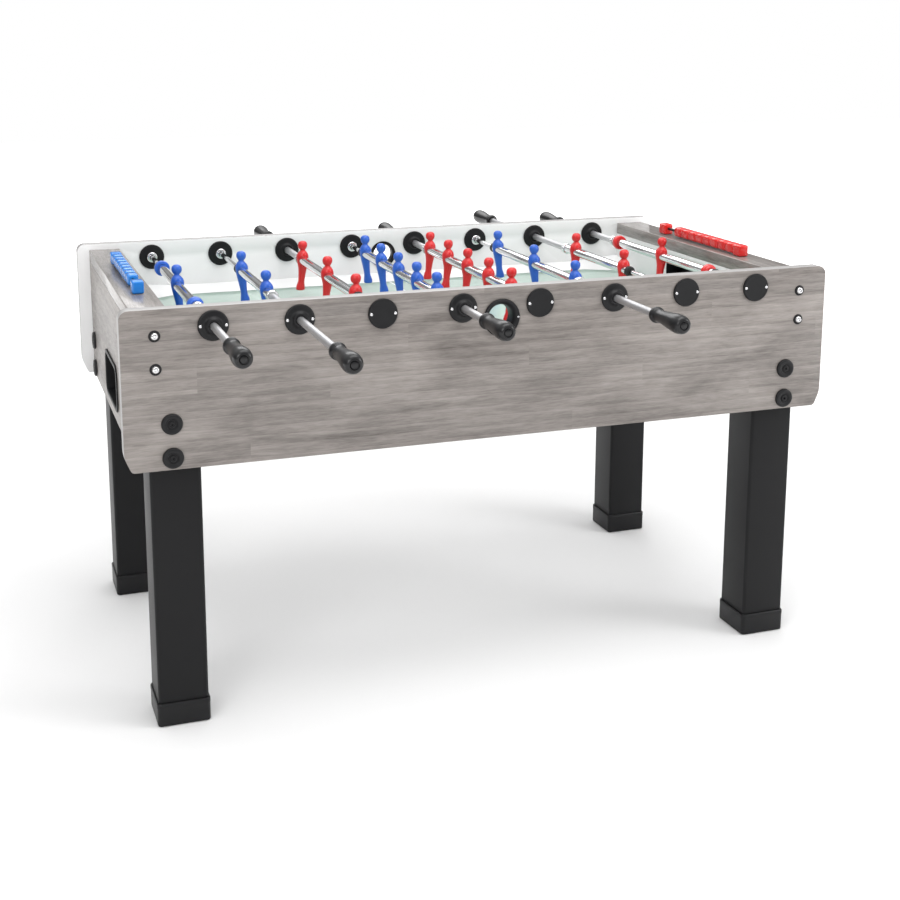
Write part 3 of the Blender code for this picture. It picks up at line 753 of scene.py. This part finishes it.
def build_playfield():
    """The frosted glass, the painted lines and the ramps along the sides and into the corners."""
    glass = block(GLASS_LOW, GLASS_HIGH, 0.0008, 2)
    new_piece("playfield_glass_sheet", glass, "cabinet", ("field",), ("playfield_glass",))

    area_x, area_y = 0.450, 0.190
    end_x = GLASS_HIGH.x - 0.004
    parts = [line_ring(0.100), board(circle(0.008), [], FIELD_TOP, FIELD_TOP + 0.0002)]
    parts.append(line_strip(0, -0.300, 0, -0.1))
    parts.append(line_strip(0, 0.1, 0, 0.300))
    for side in (-1, 1):
        parts.append(line_strip(side * area_x, -area_y, side * area_x, area_y))
        for y in (-area_y, area_y):
            parts.append(line_strip(side * (area_x + 0.0045), y, side * end_x, y))
    lines = gathered([(part, NO_TURN, 0) for part in parts])
    new_piece("field_lines", lines, "cabinet", ("line",))

    for name in ("field_ramp_front", "field_ramp_rear"):
        low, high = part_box(name)
        side = 1 if name.endswith("rear") else -1
        wall = high.y if side > 0 else low.y
        reach = high.y - low.y
        narrow, rise_low, rise_high = 0.050, 0.012, high.z - low.z
        bend = high.x - reach
        rings = []
        for x, width, rise in (
            (low.x, reach, rise_high),
            (-bend, narrow, rise_low),
            (bend, narrow, rise_low),
            (high.x, reach, rise_high),
        ):
            inner = wall - side * width
            rings.append([(x, inner, low.z), (x, wall, low.z), (x, wall, low.z + rise)])
        new_piece(f"{name}_strip", lofted(rings), "cabinet", ("white",), (name,), sharp=12.0)


def build_cabinet_floor():
    low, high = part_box("cabinet_floor")
    leg_low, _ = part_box("leg_rear_right")
    short_x, short_y = leg_low.x - 0.001, leg_low.y - 0.001
    quarter = [(high.x, short_y), (short_x, short_y), (short_x, high.y)]
    outline = quarter + [(-x, y) for x, y in reversed(quarter)]
    outline += [(-x, -y) for x, y in quarter] + [(x, -y) for x, y in reversed(quarter)]
    bm = board(outline, [], low.z, high.z, 0.0008)
    new_piece("cabinet_floor_board", bm, "cabinet", ("white",), ("cabinet_floor",))


# ---------------------------------------------------------------- legs

CORNERS = ("front_left", "front_right", "rear_left", "rear_right")


def build_legs():
    wall = 0.002
    for corner in CORNERS:
        node = f"leg_{corner}"
        low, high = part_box(node)
        half = (high.x - low.x) / 2
        centre = ((low.x + high.x) / 2, (low.y + high.y) / 2)
        outer = rounded_box(half, half, 0.006, centre, 6)
        inner = rounded_box(half - wall, half - wall, 0.004, centre, 6)
        bm = board(outer, [inner], low.z, high.z, 0.0004)
        new_piece(f"{node}_tube", bm, "cabinet", ("powder",), (node,))


def build_foot_caps():
    """A cup round the foot of each leg, with a lip at its top and a chamfered sole."""
    for corner in CORNERS:
        node = f"foot_cap_{corner}"
        low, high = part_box(node)
        leg_low, leg_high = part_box(f"leg_{corner}")
        half = (high.x - low.x) / 2
        leg_half = (leg_high.x - leg_low.x) / 2 + GAP
        centre = ((low.x + high.x) / 2, (low.y + high.y) / 2)

        def ring(size, radius, height):
            return [(x, y, height) for x, y in rounded_box(size, size, radius, centre, 6)]

        rings = [
            ring(half - 0.0035, 0.0045, low.z),
            ring(half - 0.0010, 0.0065, low.z + 0.0015),
            ring(half - 0.0004, 0.0075, low.z + 0.004),
            ring(half - 0.0004, 0.0075, high.z - 0.010),
            ring(half, 0.0080, high.z - 0.009),
            ring(half, 0.0080, high.z - 0.0020),
            ring(half - 0.0012, 0.0070, high.z),
            ring(leg_half, 0.0063, high.z),
            ring(leg_half, 0.0063, leg_low.z - GAP),
        ]
        new_piece(f"{node}_cup", lofted(rings), "cabinet", ("cap",), (node,), sharp=30.0)


# ---------------------------------------------------------------- rods


def build_rod_guides():
    """The thin rods, with a ring nut against the bearing on the far wall."""
    radius = sizes().guide_radius
    for number in range(1, ROD_COUNT + 1):
        node = f"rod{number}_guide_rod"
        low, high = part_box(node)
        side = rod_axis(number)[1]
        end = high.y if side > 0 else -low.y
        start = low.y if side > 0 else -high.y
        disc = -(INNER_Y - 0.0040 - GAP)
        nut = 0.0110
        profile = softened(
            [
                (0.0, end),
                (radius, end, 0.0008),
                (radius, disc + 0.0050),
                (radius + 0.0012, disc + 0.0042),
                (radius + 0.0016, disc + 0.0072),
                (nut - 0.0012, disc + 0.0072, 0.0004),
                (nut, disc + 0.0058, 0.0004),
                (nut, disc + 0.0010, 0.0004),
                (nut - 0.0010, disc),
                (radius, disc),
                (radius, start),
                (0.0, start),
            ],
            3,
        )
        bm = turned(profile, 40)
        bmesh.ops.transform(bm, matrix=rod_place(number), verts=bm.verts)
        new_piece(f"rod{number}_guide", bm, f"rod{number}_guide", ("chrome",), (node,))


def build_rod_tubes():
    """The chrome tube with its collar, the black end ring and the dark tube to the grip."""
    handle = sizes().handle_radius
    tube = sizes().tube_radius
    bore = sizes().guide_radius + 0.0004
    for number, count in enumerate(FIGURE_COUNTS, start=1):
        node = f"rod{number}_tube"
        reach, tail = LAYOUTS[count]["reach"], -LAYOUTS[count]["tail"]
        low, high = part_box(node)
        end = max(high.y, -low.y)
        collar, length = 0.0120, 0.010
        chrome = turned(
            softened(
                [
                    (handle + 0.0002, reach),
                    (collar - 0.0016, reach, 0.0006),
                    (collar, reach - 0.0020, 0.0006),
                    (collar, reach - 0.0040, 0.0002),
                    (collar - 0.0008, reach - 0.0045),
                    (collar, reach - 0.0050, 0.0002),
                    (collar, reach - length + 0.0010, 0.0006),
                    (collar - 0.0012, reach - length, 0.0003),
                    (tube, reach - length),
                    (tube, tail + 0.0102),
                    (bore, tail + 0.0102),
                    (bore, reach - 0.016),
                    (handle + 0.0002, reach - 0.016),
                ],
                3,
            ),
            48,
            True,
        )
        dark = turned(
            softened(
                [
                    (bore, reach - 0.0155),
                    (handle, reach - 0.0155),
                    (handle, end, 0.0006),
                    (bore, end),
                ],
                3,
            ),
            48,
            True,
        )
        ring = turned(
            softened(
                [
                    (bore, tail + 0.0100),
                    (0.0104, tail + 0.0100, 0.0006),
                    (0.0108, tail + 0.0050, 0.0010),
                    (0.0104, tail, 0.0010),
                    (bore, tail, 0.0008),
                ],
                3,
            ),
            48,
            True,
        )
        bm = gathered([(chrome, NO_TURN, 0), (dark, NO_TURN, 1), (ring, NO_TURN, 2)])
        bmesh.ops.transform(bm, matrix=rod_place(number), verts=bm.verts)
        finishes = ("chrome", "steel", "rubber")
        new_piece(f"rod{number}_player_tube", bm, f"rod{number}_outer", finishes, (node,))


# A figure from its soles to its crown: height from the rod, half depth, half width, step forward
BODY_SECTIONS = (
    (-0.0650, 0.0088, 0.0082, 0.0058),
    (-0.0636, 0.0100, 0.0094, 0.0058),
    (-0.0560, 0.0094, 0.0092, 0.0056),
    (-0.0500, 0.0078, 0.0086, 0.0044),
    (-0.0455, 0.0068, 0.0082, 0.0036),
    (-0.0360, 0.0074, 0.0088, 0.0026),
    (-0.0250, 0.0084, 0.0096, 0.0012),
    (-0.0150, 0.0098, 0.0104, 0.0000),
    (-0.0060, 0.0118, 0.0116, 0.0000),
    (0.0030, 0.0136, 0.0126, 0.0002),
    (0.0100, 0.0134, 0.0134, 0.0002),
    (0.0155, 0.0106, 0.0128, -0.0004),
    (0.0190, 0.0074, 0.0098, -0.0008),
    (0.0212, 0.0054, 0.0062, -0.0008),
    (0.0228, 0.0054, 0.0054, -0.0008),
    (0.0250, 0.0082, 0.0074, -0.0004),
    (0.0290, 0.0102, 0.0092, -0.0004),
    (0.0340, 0.0106, 0.0096, -0.0006),
    (0.0380, 0.0090, 0.0082, -0.0008),
    (0.0405, 0.0064, 0.0058, -0.0008),
    (0.0416, 0.0028, 0.0026, -0.0008),
)


def temporary_object(name, bm):
    mesh = bpy.data.meshes.new(name)
    bm.to_mesh(mesh)
    bm.free()
    obj = bpy.data.objects.new(name, mesh)
    bpy.context.scene.collection.objects.link(obj)
    return obj


def bored_mesh(bm, radius):
    """The shape smoothed, with its shells joined and a hole bored through it along Y."""
    shape = temporary_object("shape", bm)
    tool = turned([(0, 0.03), (radius, 0.03), (radius, -0.03), (0, -0.03)], 32)
    bmesh.ops.transform(tool, matrix=UPRIGHT, verts=tool.verts)
    cutter = temporary_object("cutter", tool)
    smooth = shape.modifiers.new("Smooth", "SUBSURF")
    smooth.levels = smooth.render_levels = 1
    bore = shape.modifiers.new("Bore", "BOOLEAN")
    bore.operation = "DIFFERENCE"
    bore.object = cutter
    bore.use_self = True
    graph = bpy.context.evaluated_depsgraph_get()
    made = bpy.data.meshes.new_from_object(shape.evaluated_get(graph))
    result = bmesh.new()
    result.from_mesh(made)
    for obj in (shape, cutter):
        mesh = obj.data
        bpy.data.objects.remove(obj)
        bpy.data.meshes.remove(mesh)
    bpy.data.meshes.remove(made)
    return result


def figure_mesh():
    """A standing player: legs, body and head in one skin, and an arm held against each side."""
    rings = []
    for height, depth, width, forward in BODY_SECTIONS:
        ring = []
        for i in range(16):
            angle = math.tau * (i + 0.5) / 16
            ring.append((forward + depth * math.cos(angle), width * math.sin(angle), height))
        rings.append(ring)
    parts = [(lofted(rings), NO_TURN, 0)]
    for side in (-1, 1):
        arm = bmesh.new()
        bmesh.ops.create_uvsphere(arm, u_segments=12, v_segments=8, radius=1.0)
        bmesh.ops.scale(arm, vec=(0.0046, 0.0030, 0.0150), verts=arm.verts)
        tilt = Matrix.Rotation(math.radians(side * 6), 4, "X")
        parts.append((arm, Matrix.Translation((0.0004, side * 0.0122, 0.0000)) @ tilt, 0))
    return bored_mesh(gathered(parts), sizes().tube_radius + GAP)


def stop_ring_mesh(outward):
    """A ring clamped on the tube, domed on the side that meets the bearing."""
    bore = sizes().tube_radius + GAP
    profile = softened(
        [
            (bore, 0.009),
            (0.0118, 0.009, 0.0016),
            (0.0156, 0.004, 0.0030),
            (0.0160, -0.005, 0.0016),
            (0.0150, -0.009, 0.0012),
            (bore, -0.009),
        ],
        4,
    )
    bm = turned(profile, 40, True)
    flip = NO_TURN if outward > 0 else Matrix.Rotation(math.radians(180), 4, "X")
    bmesh.ops.transform(bm, matrix=flip, verts=bm.verts)
    return bm


def build_figures():
    """The figures, all from one shape, and the stop rings of the goalkeepers' rods."""
    figure = figure_mesh()
    for number, count in enumerate(FIGURE_COUNTS, start=1):
        body = f"rod{number}_outer"
        node = f"rod{number}_men"
        team = "blue" if rod_axis(number)[1] < 0 else "red"
        place = rod_place(number)
        for index, at in enumerate(LAYOUTS[count]["figures"], start=1):
            bm = figure.copy()
            spot = place @ Matrix.Translation((0, 0, at)) @ STANDING
            bmesh.ops.transform(bm, matrix=spot, verts=bm.verts)
            replaced = (node,) if index == 1 else ()
            new_piece(f"rod{number}_figure{index}", bm, body, (team,), replaced, 60.0)
        if count == 1:
            for end, label in ((-1, "guide"), (1, "grip")):
                bm = stop_ring_mesh(end)
                bmesh.ops.transform(bm, matrix=place @ Matrix.Translation((0, 0, end * STOP_RING_AT)), verts=bm.verts)
                new_piece(f"rod{number}_stop_{label}_end", bm, body, (team,))


def build_grips():
    """A turned grip: a collar at the rod, a waist, a swell for the palm and a plug in its end."""
    for number in range(1, ROD_COUNT + 1):
        node = f"rod{number}_grip"
        low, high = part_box(node)
        length = high.y - low.y
        start = low.y if rod_axis(number)[1] > 0 else -high.y
        bore = sizes().handle_radius + GAP
        inside = 0.0845
        skin = flowing(
            [
                (0.0118, 0.0004),
                (0.0138, 0.0022),
                (0.0146, 0.0060),
                (0.0142, 0.0100),
                (0.0120, 0.0140),
                (0.0114, 0.0220),
                (0.0122, 0.0360),
                (0.0143, 0.0560),
                (0.0162, 0.0740),
                (0.0168, 0.0850),
                (0.0160, 0.0950),
                (0.0138, 0.1012),
                (0.0104, length),
            ]
        )
        plug = [(0.0080, length), (0.0076, length - 0.0022), (0.0068, length - 0.0026), (0.0058, length - 0.0012)]
        plug += [(0.0030, length - 0.0006), (0.0, length - 0.0006)]
        profile = [(0.0, inside), (bore, inside), (bore, 0.0), *skin, *plug]
        bm = turned(profile, 56)
        place = rod_place(number) @ Matrix.Translation((0, 0, start))
        bmesh.ops.transform(bm, matrix=place, verts=bm.verts)
        new_piece(f"rod{number}_handle", bm, f"rod{number}_outer", ("grip",), (node,))


# ---------------------------------------------------------------- fittings


def screw_mesh(radius, height, base):
    """A domed screw head with a round socket."""
    profile = softened(
        [
            (0.0, base + height * 0.45),
            (radius * 0.30, base + height * 0.45),
            (radius * 0.40, base + height * 0.95),
            (radius * 0.72, base + height * 0.86, radius * 0.16),
            (radius, base + height * 0.22, radius * 0.14),
            (radius, base),
            (0.0, base),
        ],
        3,
    )
    return turned(profile, 24)


def bushing_mesh():
    """The outer half of a bushing: a disc that rises to a hub round the rod."""
    radius, thick = sizes().disc_radius, sizes().disc_thick
    bore = sizes().handle_radius + GAP
    sleeve = 0.0076
    profile = [
        (sleeve, GAP),
        (radius - 0.0004, GAP, 0.0002),
        (radius, thick * 0.6, 0.0012),
        (radius - 0.0022, thick, 0.0016),
        (0.0168, thick + 0.0006, 0.0020),
        (0.0138, 0.0082, 0.0020),
        (0.0122, 0.0120, 0.0012),
        (bore + 0.0006, 0.0120, 0.0005),
        (bore, 0.0112),
        (bore, -0.0200),
        (sleeve, -0.0200),
    ]
    return turned(softened(profile, 4), 56, True)


def inner_bushing_mesh():
    radius = sizes().disc_radius
    bore = sizes().handle_radius + GAP
    inner = -PANEL_THICK - GAP
    profile = [
        (bore, inner),
        (radius - 0.0004, inner, 0.0002),
        (radius, inner - 0.0022, 0.0010),
        (radius - 0.0020, inner - 0.0040, 0.0014),
        (0.0150, inner - 0.0044, 0.0014),
        (0.0128, inner - 0.0066, 0.0014),
        (0.0118, inner - 0.0097, 0.0008),
        (bore, inner - 0.0097),
    ]
    return turned(softened(profile, 4), 56, True)


def guide_bearing_mesh():
    radius = sizes().disc_radius
    bore = sizes().guide_radius + GAP
    inner = -PANEL_THICK - GAP
    profile = [
        (bore, inner),
        (radius - 0.0004, inner, 0.0002),
        (radius, inner - 0.0020, 0.0010),
        (radius - 0.0022, inner - 0.0036, 0.0014),
        (bore, inner - 0.0036),
    ]
    return turned(softened(profile, 4), 56, True)


def cover_mesh():
    """A flat blank disc with a soft rim."""
    radius, thick = sizes().disc_radius, sizes().disc_thick
    profile = [
        (0.0, thick - 0.0003),
        (radius - 0.0045, thick - 0.0003, 0.0010),
        (radius - 0.0030, thick, 0.0008),
        (radius - 0.0008, thick - 0.0004, 0.0010),
        (radius, thick - 0.0020, 0.0010),
        (radius, GAP),
        (0.0, GAP),
    ]
    return turned(softened(profile, 4), 56)


def build_bearings():
    """A bushing where each rod comes out to its grip, and a bearing under a blank cover opposite it."""
    screw_at = 0.022
    for number in range(1, ROD_COUNT + 1):
        x, side = rod_axis(number)
        pieces = (
            (f"rod{number}_bushing_outer", bushing_mesh, side),
            (f"rod{number}_bushing_inner", inner_bushing_mesh, side),
            (f"rod{number}_guide_bearing", guide_bearing_mesh, -side),
            (f"rod{number}_guide_cover", cover_mesh, -side),
        )
        for name, make, face in pieces:
            bm = make()
            bmesh.ops.transform(bm, matrix=on_side(face, x, ROD_Z), verts=bm.verts)
            new_piece(name, bm, "cabinet", ("black",))
        screws = []
        for face in (side, -side):
            for at in (-screw_at, screw_at):
                place = on_side(face, x, ROD_Z) @ Matrix.Translation((at, 0, 0))
                screws.append((screw_mesh(0.0030, 0.0018, sizes().disc_thick), place, 0))
        new_piece(f"rod{number}_disc_screws", gathered(screws), "cabinet", ("screw",))


def build_ball_entries():
    """A dished ring round the hole in each side panel, with a sleeve through the panel and one small screw."""
    z = (ENTRY_LOW.z + ENTRY_HIGH.z) / 2
    rim = ENTRY_HIGH.x
    inside = -PANEL_THICK - 0.0015
    for name, side in (("ball_entry_front", -1), ("ball_entry_rear", 1)):
        profile = [
            (rim - 0.0002, GAP),
            (rim, 0.0018, 0.0010),
            (rim - 0.0016, 0.0045, 0.0012),
            (rim - 0.0050, 0.0042, 0.0030),
            (rim - 0.0110, -0.0030, 0.0040),
            (0.0225, -0.0120, 0.0060),
            (0.0225, inside, 0.0010),
            (0.0296, inside),
            (0.0296, GAP),
        ]
        ring = turned(softened(profile, 5), 64, True)
        screw = screw_mesh(0.0022, 0.0014, 0.0034)
        place = on_side(side, 0, z)
        at = place @ Matrix.Translation((rim - 0.0038, 0, 0))
        bm = gathered([(ring, place, 0), (screw, at, 1)])
        new_piece(f"{name}_ring", bm, "cabinet", ("black", "screw"), (name,))


def build_ball_returns():
    """A frame with a soft rim, and a sleeve through the end panel."""
    width, height = 0.0875, 0.0400
    z = (RETURN_LOW.z + RETURN_HIGH.z) / 2
    outline = (
        (width + 0.0060, height + 0.0060, 0.0240, GAP),
        (width + 0.0060, height + 0.0060, 0.0240, 0.0018),
        (width + 0.0048, height + 0.0048, 0.0228, 0.0030),
        (width - 0.0010, height - 0.0010, 0.0170, 0.0030),
        (width - 0.0025, height - 0.0025, 0.0155, 0.0012),
        (width - 0.0025, height - 0.0025, 0.0155, -0.0260),
        (width - GAP, height - GAP, 0.0177, -0.0260),
        (width - GAP, height - GAP, 0.0177, GAP),
    )
    for name, side in (("ball_return_left", -1), ("ball_return_right", 1)):
        rings = [[(x, y, depth) for x, y in rounded_box(w, h, radius)] for w, h, radius, depth in outline]
        bm = lofted(rings, closed=True)
        bmesh.ops.transform(bm, matrix=on_end(side, 0, z), verts=bm.verts)
        new_piece(f"{name}_frame", bm, "cabinet", ("black",), (name,), sharp=30.0)


def bolt_cap_mesh():
    """A round plastic cap with a raised rim, a groove and a socket screw in its middle."""
    radius, height = 0.0185, 0.0060
    return turned(
        softened(
            [
                (0.0, 0.0020),
                (0.0022, 0.0020),
                (0.0026, 0.0046),
                (0.0052, 0.0046, 0.0008),
                (0.0062, 0.0026),
                (0.0086, 0.0026, 0.0006),
                (0.0100, 0.0050, 0.0012),
                (0.0152, height, 0.0018),
                (radius - 0.0006, 0.0044, 0.0014),
                (radius, 0.0010),
                (radius, GAP),
                (0.0, GAP),
            ],
            4,
        ),
        48,
    )


def build_leg_bolts():
    """Two caps over each leg's bolts on the side panel and two on the end panel."""
    heights = (PANEL_BOTTOM + 0.0210, PANEL_BOTTOM + 0.0810)
    for corner in CORNERS:
        low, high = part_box(f"leg_{corner}")
        middle_y = (low.y + high.y) / 2
        side_y = 1 if middle_y > 0 else -1
        side_x = 1 if low.x + high.x > 0 else -1
        parts = []
        for z in heights:
            parts.append((bolt_cap_mesh(), on_side(side_y, side_x * 0.600, z), 0))
            parts.append((bolt_cap_mesh(), on_end(side_x, middle_y, z), 0))
        new_piece(f"leg_bolt_caps_{corner}", gathered(parts), "cabinet", ("cap",))


def build_cabinet_bolts():
    """Bright domed bolts on black washers, two at each end of each side panel."""
    for side, label in ((-1, "front"), (1, "rear")):
        parts = []
        for x in (-0.624, 0.624):
            for drop in (0.0455, 0.1030):
                place = on_side(side, x, PANEL_TOP - drop)
                washer = turned(softened([(0, 0.0024), (0.0078, 0.0024, 0.0008), (0.0102, 0.0008, 0.0006), (0.0102, GAP), (0, GAP)]), 40)
                parts.append((washer, place, 0))
                parts.append((screw_mesh(0.0066, 0.0042, 0.0020), place, 1))
        new_piece(f"cabinet_bolts_{label}", gathered(parts), "cabinet", ("black", "screw"))


def build_scorers():
    """A black rod between two coloured blocks, with eight beads that slide on it."""
    for name, team, side in (("scorer_left", "blue_bead", -1), ("scorer_right", "red_bead", 1)):
        low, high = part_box(f"{name}_rail")
        beads_low, beads_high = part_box(f"{name}_beads")
        x = (low.x + high.x) / 2
        z = (beads_low.z + beads_high.z) / 2
        length = 0.028
        rod_half = high.y - length / 2
        rod = turned([(0, rod_half), (0.0030, rod_half), (0.0030, -rod_half), (0, -rod_half)], 24)
        parts = [(rod, Matrix.Translation((x, 0, z)) @ UPRIGHT, 0)]
        for y0, y1 in ((low.y, low.y + length), (high.y - length, high.y)):
            parts.append((block((low.x, y0, low.z), (high.x, y1, high.z), 0.0038, 4), NO_TURN, 1))
        new_piece(f"{name}_rod", gathered(parts), "cabinet", ("black", team), (f"{name}_rail",))
        count = 8
        pitch = (beads_high.y - beads_low.y) / count
        half = (beads_high.z - beads_low.z) / 2
        for index in range(count):
            start = beads_low.y + index * pitch
            rings = []
            for y, size, radius in (
                (start + 0.0002, 0.0036, 0.0034),
                (start + 0.0002, half * 0.74, half * 0.40),
                (start + 0.0014, half * 0.90, half * 0.46),
                (start + 0.0048, half, half * 0.50),
                (start + pitch - 0.0048, half, half * 0.50),
                (start + pitch - 0.0014, half * 0.90, half * 0.46),
                (start + pitch - 0.0002, half * 0.74, half * 0.40),
                (start + pitch - 0.0002, 0.0036, 0.0034),
            ):
                rings.append([(x + a, y, z + b) for a, b in rounded_box(size, size, radius)])
            replaced = (f"{name}_beads",) if index == 0 else ()
            bead = lofted(rings, closed=True)
            new_piece(f"{name}_bead{index + 1}", bead, f"{name}_beads", (team,), replaced, sharp=50.0)


# ---------------------------------------------------------------- stage


def add_area_light(name, place, target, size, power, tint=(1.0, 1.0, 1.0)):
    light = bpy.data.lights.new(name, "AREA")
    light.shape = "RECTANGLE"
    light.size, light.size_y = size
    light.energy = power
    light.color = tint
    obj = bpy.data.objects.new(name, light)
    obj.location = place
    obj.rotation_euler = (Vector(target) - Vector(place)).to_track_quat("-Z", "Y").to_euler()
    bpy.context.scene.collection.objects.link(obj)


def build_world():
    """A studio that is bright overhead and dim near the horizon, and white where the camera sees it."""
    world = bpy.data.worlds.new("studio")
    bpy.context.scene.world = world
    world.use_nodes = True
    tree = world.node_tree
    background = tree.nodes["Background"]
    direction = add_node(tree, "ShaderNodeTexCoord").outputs["Generated"]
    parts = add_node(tree, "ShaderNodeSeparateXYZ")
    tree.links.new(direction, parts.inputs[0])
    height = ramp_of(tree, parts.outputs["Z"], 0.10, 0.70)
    glow = math_node(tree, "ADD", math_node(tree, "MULTIPLY", height, 0.80), 0.16)
    seen = add_node(tree, "ShaderNodeLightPath").outputs["Is Camera Ray"]
    strength = math_node(tree, "MAXIMUM", glow, math_node(tree, "MULTIPLY", seen, 1.0))
    tree.links.new(strength, background.inputs["Strength"])
    background.inputs["Color"].default_value = (1.0, 1.0, 1.0, 1.0)
    bpy.context.scene.view_settings.view_transform = "Standard"


def build_stage():
    floor = block((-12, -12, -0.02), (12, 12, -0.0005), 0.001, 1)
    mesh = bpy.data.meshes.new("studio_floor")
    floor.to_mesh(mesh)
    floor.free()
    material, tree, shader = new_material("studio_floor")
    shader.inputs["Base Color"].default_value = (*colours().floor, 1.0)
    shader.inputs["Roughness"].default_value = 0.85
    # Painted glow: away from the table the floor gives off white light of its own, from none at 1.4 m from the middle
    # to full strength at 4.5 m, so that it fades into white
    place = add_node(tree, "ShaderNodeTexCoord").outputs["Object"]
    distance = add_node(tree, "ShaderNodeVectorMath", operation="LENGTH")
    tree.links.new(place, distance.inputs[0])
    painted_glow = ramp_of(tree, distance.outputs["Value"], 1.4, 4.5)
    tree.links.new(painted_glow, shader.inputs["Emission Strength"])
    shader.inputs["Emission Color"].default_value = (1.0, 1.0, 1.0, 1.0)
    mesh.materials.append(material)
    obj = bpy.data.objects.new("studio_floor", mesh)
    bpy.context.scene.collection.objects.link(obj)

    build_world()
    middle = (0, 0, 0.6)
    add_area_light("overhead", (0.1, -0.4, 3.0), middle, (2.6, 2.0), 50)
    add_area_light("front_left", (-2.6, -3.2, 2.4), middle, (1.8, 1.6), 44)
    add_area_light("right", (3.4, -2.2, 1.9), middle, (1.6, 1.8), 54)
    add_area_light("rear", (0.5, 3.0, 2.6), middle, (2.6, 1.2), 26)

    camera = bpy.data.cameras.new("camera")
    camera.lens = sizes().lens
    camera.sensor_width = 36.0
    camera.shift_x = 0.022
    camera.shift_y = -0.167
    camera.clip_start = 0.05
    viewer = bpy.data.objects.new("camera", camera)
    viewer.location = (-0.933, -2.704, 1.243)
    viewer.rotation_euler = (math.radians(78.66), 0, math.radians(-18.91))
    bpy.context.scene.collection.objects.link(viewer)
    bpy.context.scene.camera = viewer


# ---------------------------------------------------------------- operators


class FoosballBuild:
    """Shared by the operators: each one builds its pieces with its own function."""

    bl_options = {"REGISTER", "UNDO"}
    build = None

    def execute(self, context):
        type(self).build()
        return {"FINISHED"}


def operator(name, label, doc, build):
    return type(
        f"FOOSBALL_OT_{name}",
        (FoosballBuild, bpy.types.Operator),
        {"bl_idname": f"foosball.{name}", "bl_label": label, "__doc__": doc, "build": staticmethod(build)},
    )


OPERATORS = (
    operator("stage", "Stage", "Adds the floor, the lights and the camera", build_stage),
    operator("side_panels", "Side Panels", "Builds the two laminated side panels", build_side_panels),
    operator("end_panels", "End Panels", "Builds the two end panels", build_end_panels),
    operator("end_ledges", "End Ledges", "Builds the ledges over the goals", build_end_ledges),
    operator("goal_walls", "Goal Walls", "Builds the goal walls and their liners", build_goal_walls),
    operator("playfield", "Playfield", "Builds the field, its lines and its ramps", build_playfield),
    operator("cabinet_floor", "Cabinet Floor", "Builds the board under the field", build_cabinet_floor),
    operator("legs", "Legs", "Builds the square steel legs", build_legs),
    operator("foot_caps", "Foot Caps", "Builds the cups under the legs", build_foot_caps),
    operator("rod_guides", "Rod Guides", "Builds the thin guide rods", build_rod_guides),
    operator("rod_tubes", "Rod Tubes", "Builds the tubes that carry the figures", build_rod_tubes),
    operator("figures", "Figures", "Builds the figures and the stop rings", build_figures),
    operator("grips", "Grips", "Builds the grips", build_grips),
    operator("bearings", "Bearings", "Builds bushings, bearings, covers and screws", build_bearings),
    operator("ball_entries", "Ball Entries", "Builds the rings round the ball entries", build_ball_entries),
    operator("ball_returns", "Ball Returns", "Builds the frames of the ball returns", build_ball_returns),
    operator("leg_bolts", "Leg Bolts", "Builds the caps over the legs' bolts", build_leg_bolts),
    operator("cabinet_bolts", "Cabinet Bolts", "Builds the bolts of the cabinet", build_cabinet_bolts),
    operator("scorers", "Scorers", "Builds the scorers' rods, blocks and beads", build_scorers),
)


class FOOSBALL_PT_table(bpy.types.Panel):
    """Lists the steps that build the table."""

    bl_label = "Foosball Table"
    bl_idname = "FOOSBALL_PT_table"
    bl_space_type = "VIEW_3D"
    bl_region_type = "UI"
    bl_category = "Foosball"

    def draw(self, context):
        layout = self.layout
        for group in (context.scene.foosball_sizes, context.scene.foosball_colours):
            column = layout.column(align=True)
            for name in group.bl_rna.properties.keys():
                if name not in {"rna_type", "name"}:
                    column.prop(group, name)
        for step in OPERATORS:
            layout.operator(step.bl_idname)


CLASSES = (FoosballSizes, FoosballColours, *OPERATORS, FOOSBALL_PT_table)


def register():
    for item in CLASSES:
        bpy.utils.register_class(item)
    bpy.types.Scene.foosball_sizes = PROPS.PointerProperty(type=FoosballSizes)
    bpy.types.Scene.foosball_colours = PROPS.PointerProperty(type=FoosballColours)


def unregister():
    del bpy.types.Scene.foosball_colours
    del bpy.types.Scene.foosball_sizes
    for item in reversed(CLASSES):
        bpy.utils.unregister_class(item)


def main():
    register()
    for step in OPERATORS:
        getattr(bpy.ops.foosball, step.bl_idname.split(".")[1])()


if __name__ == "__main__":
    main()
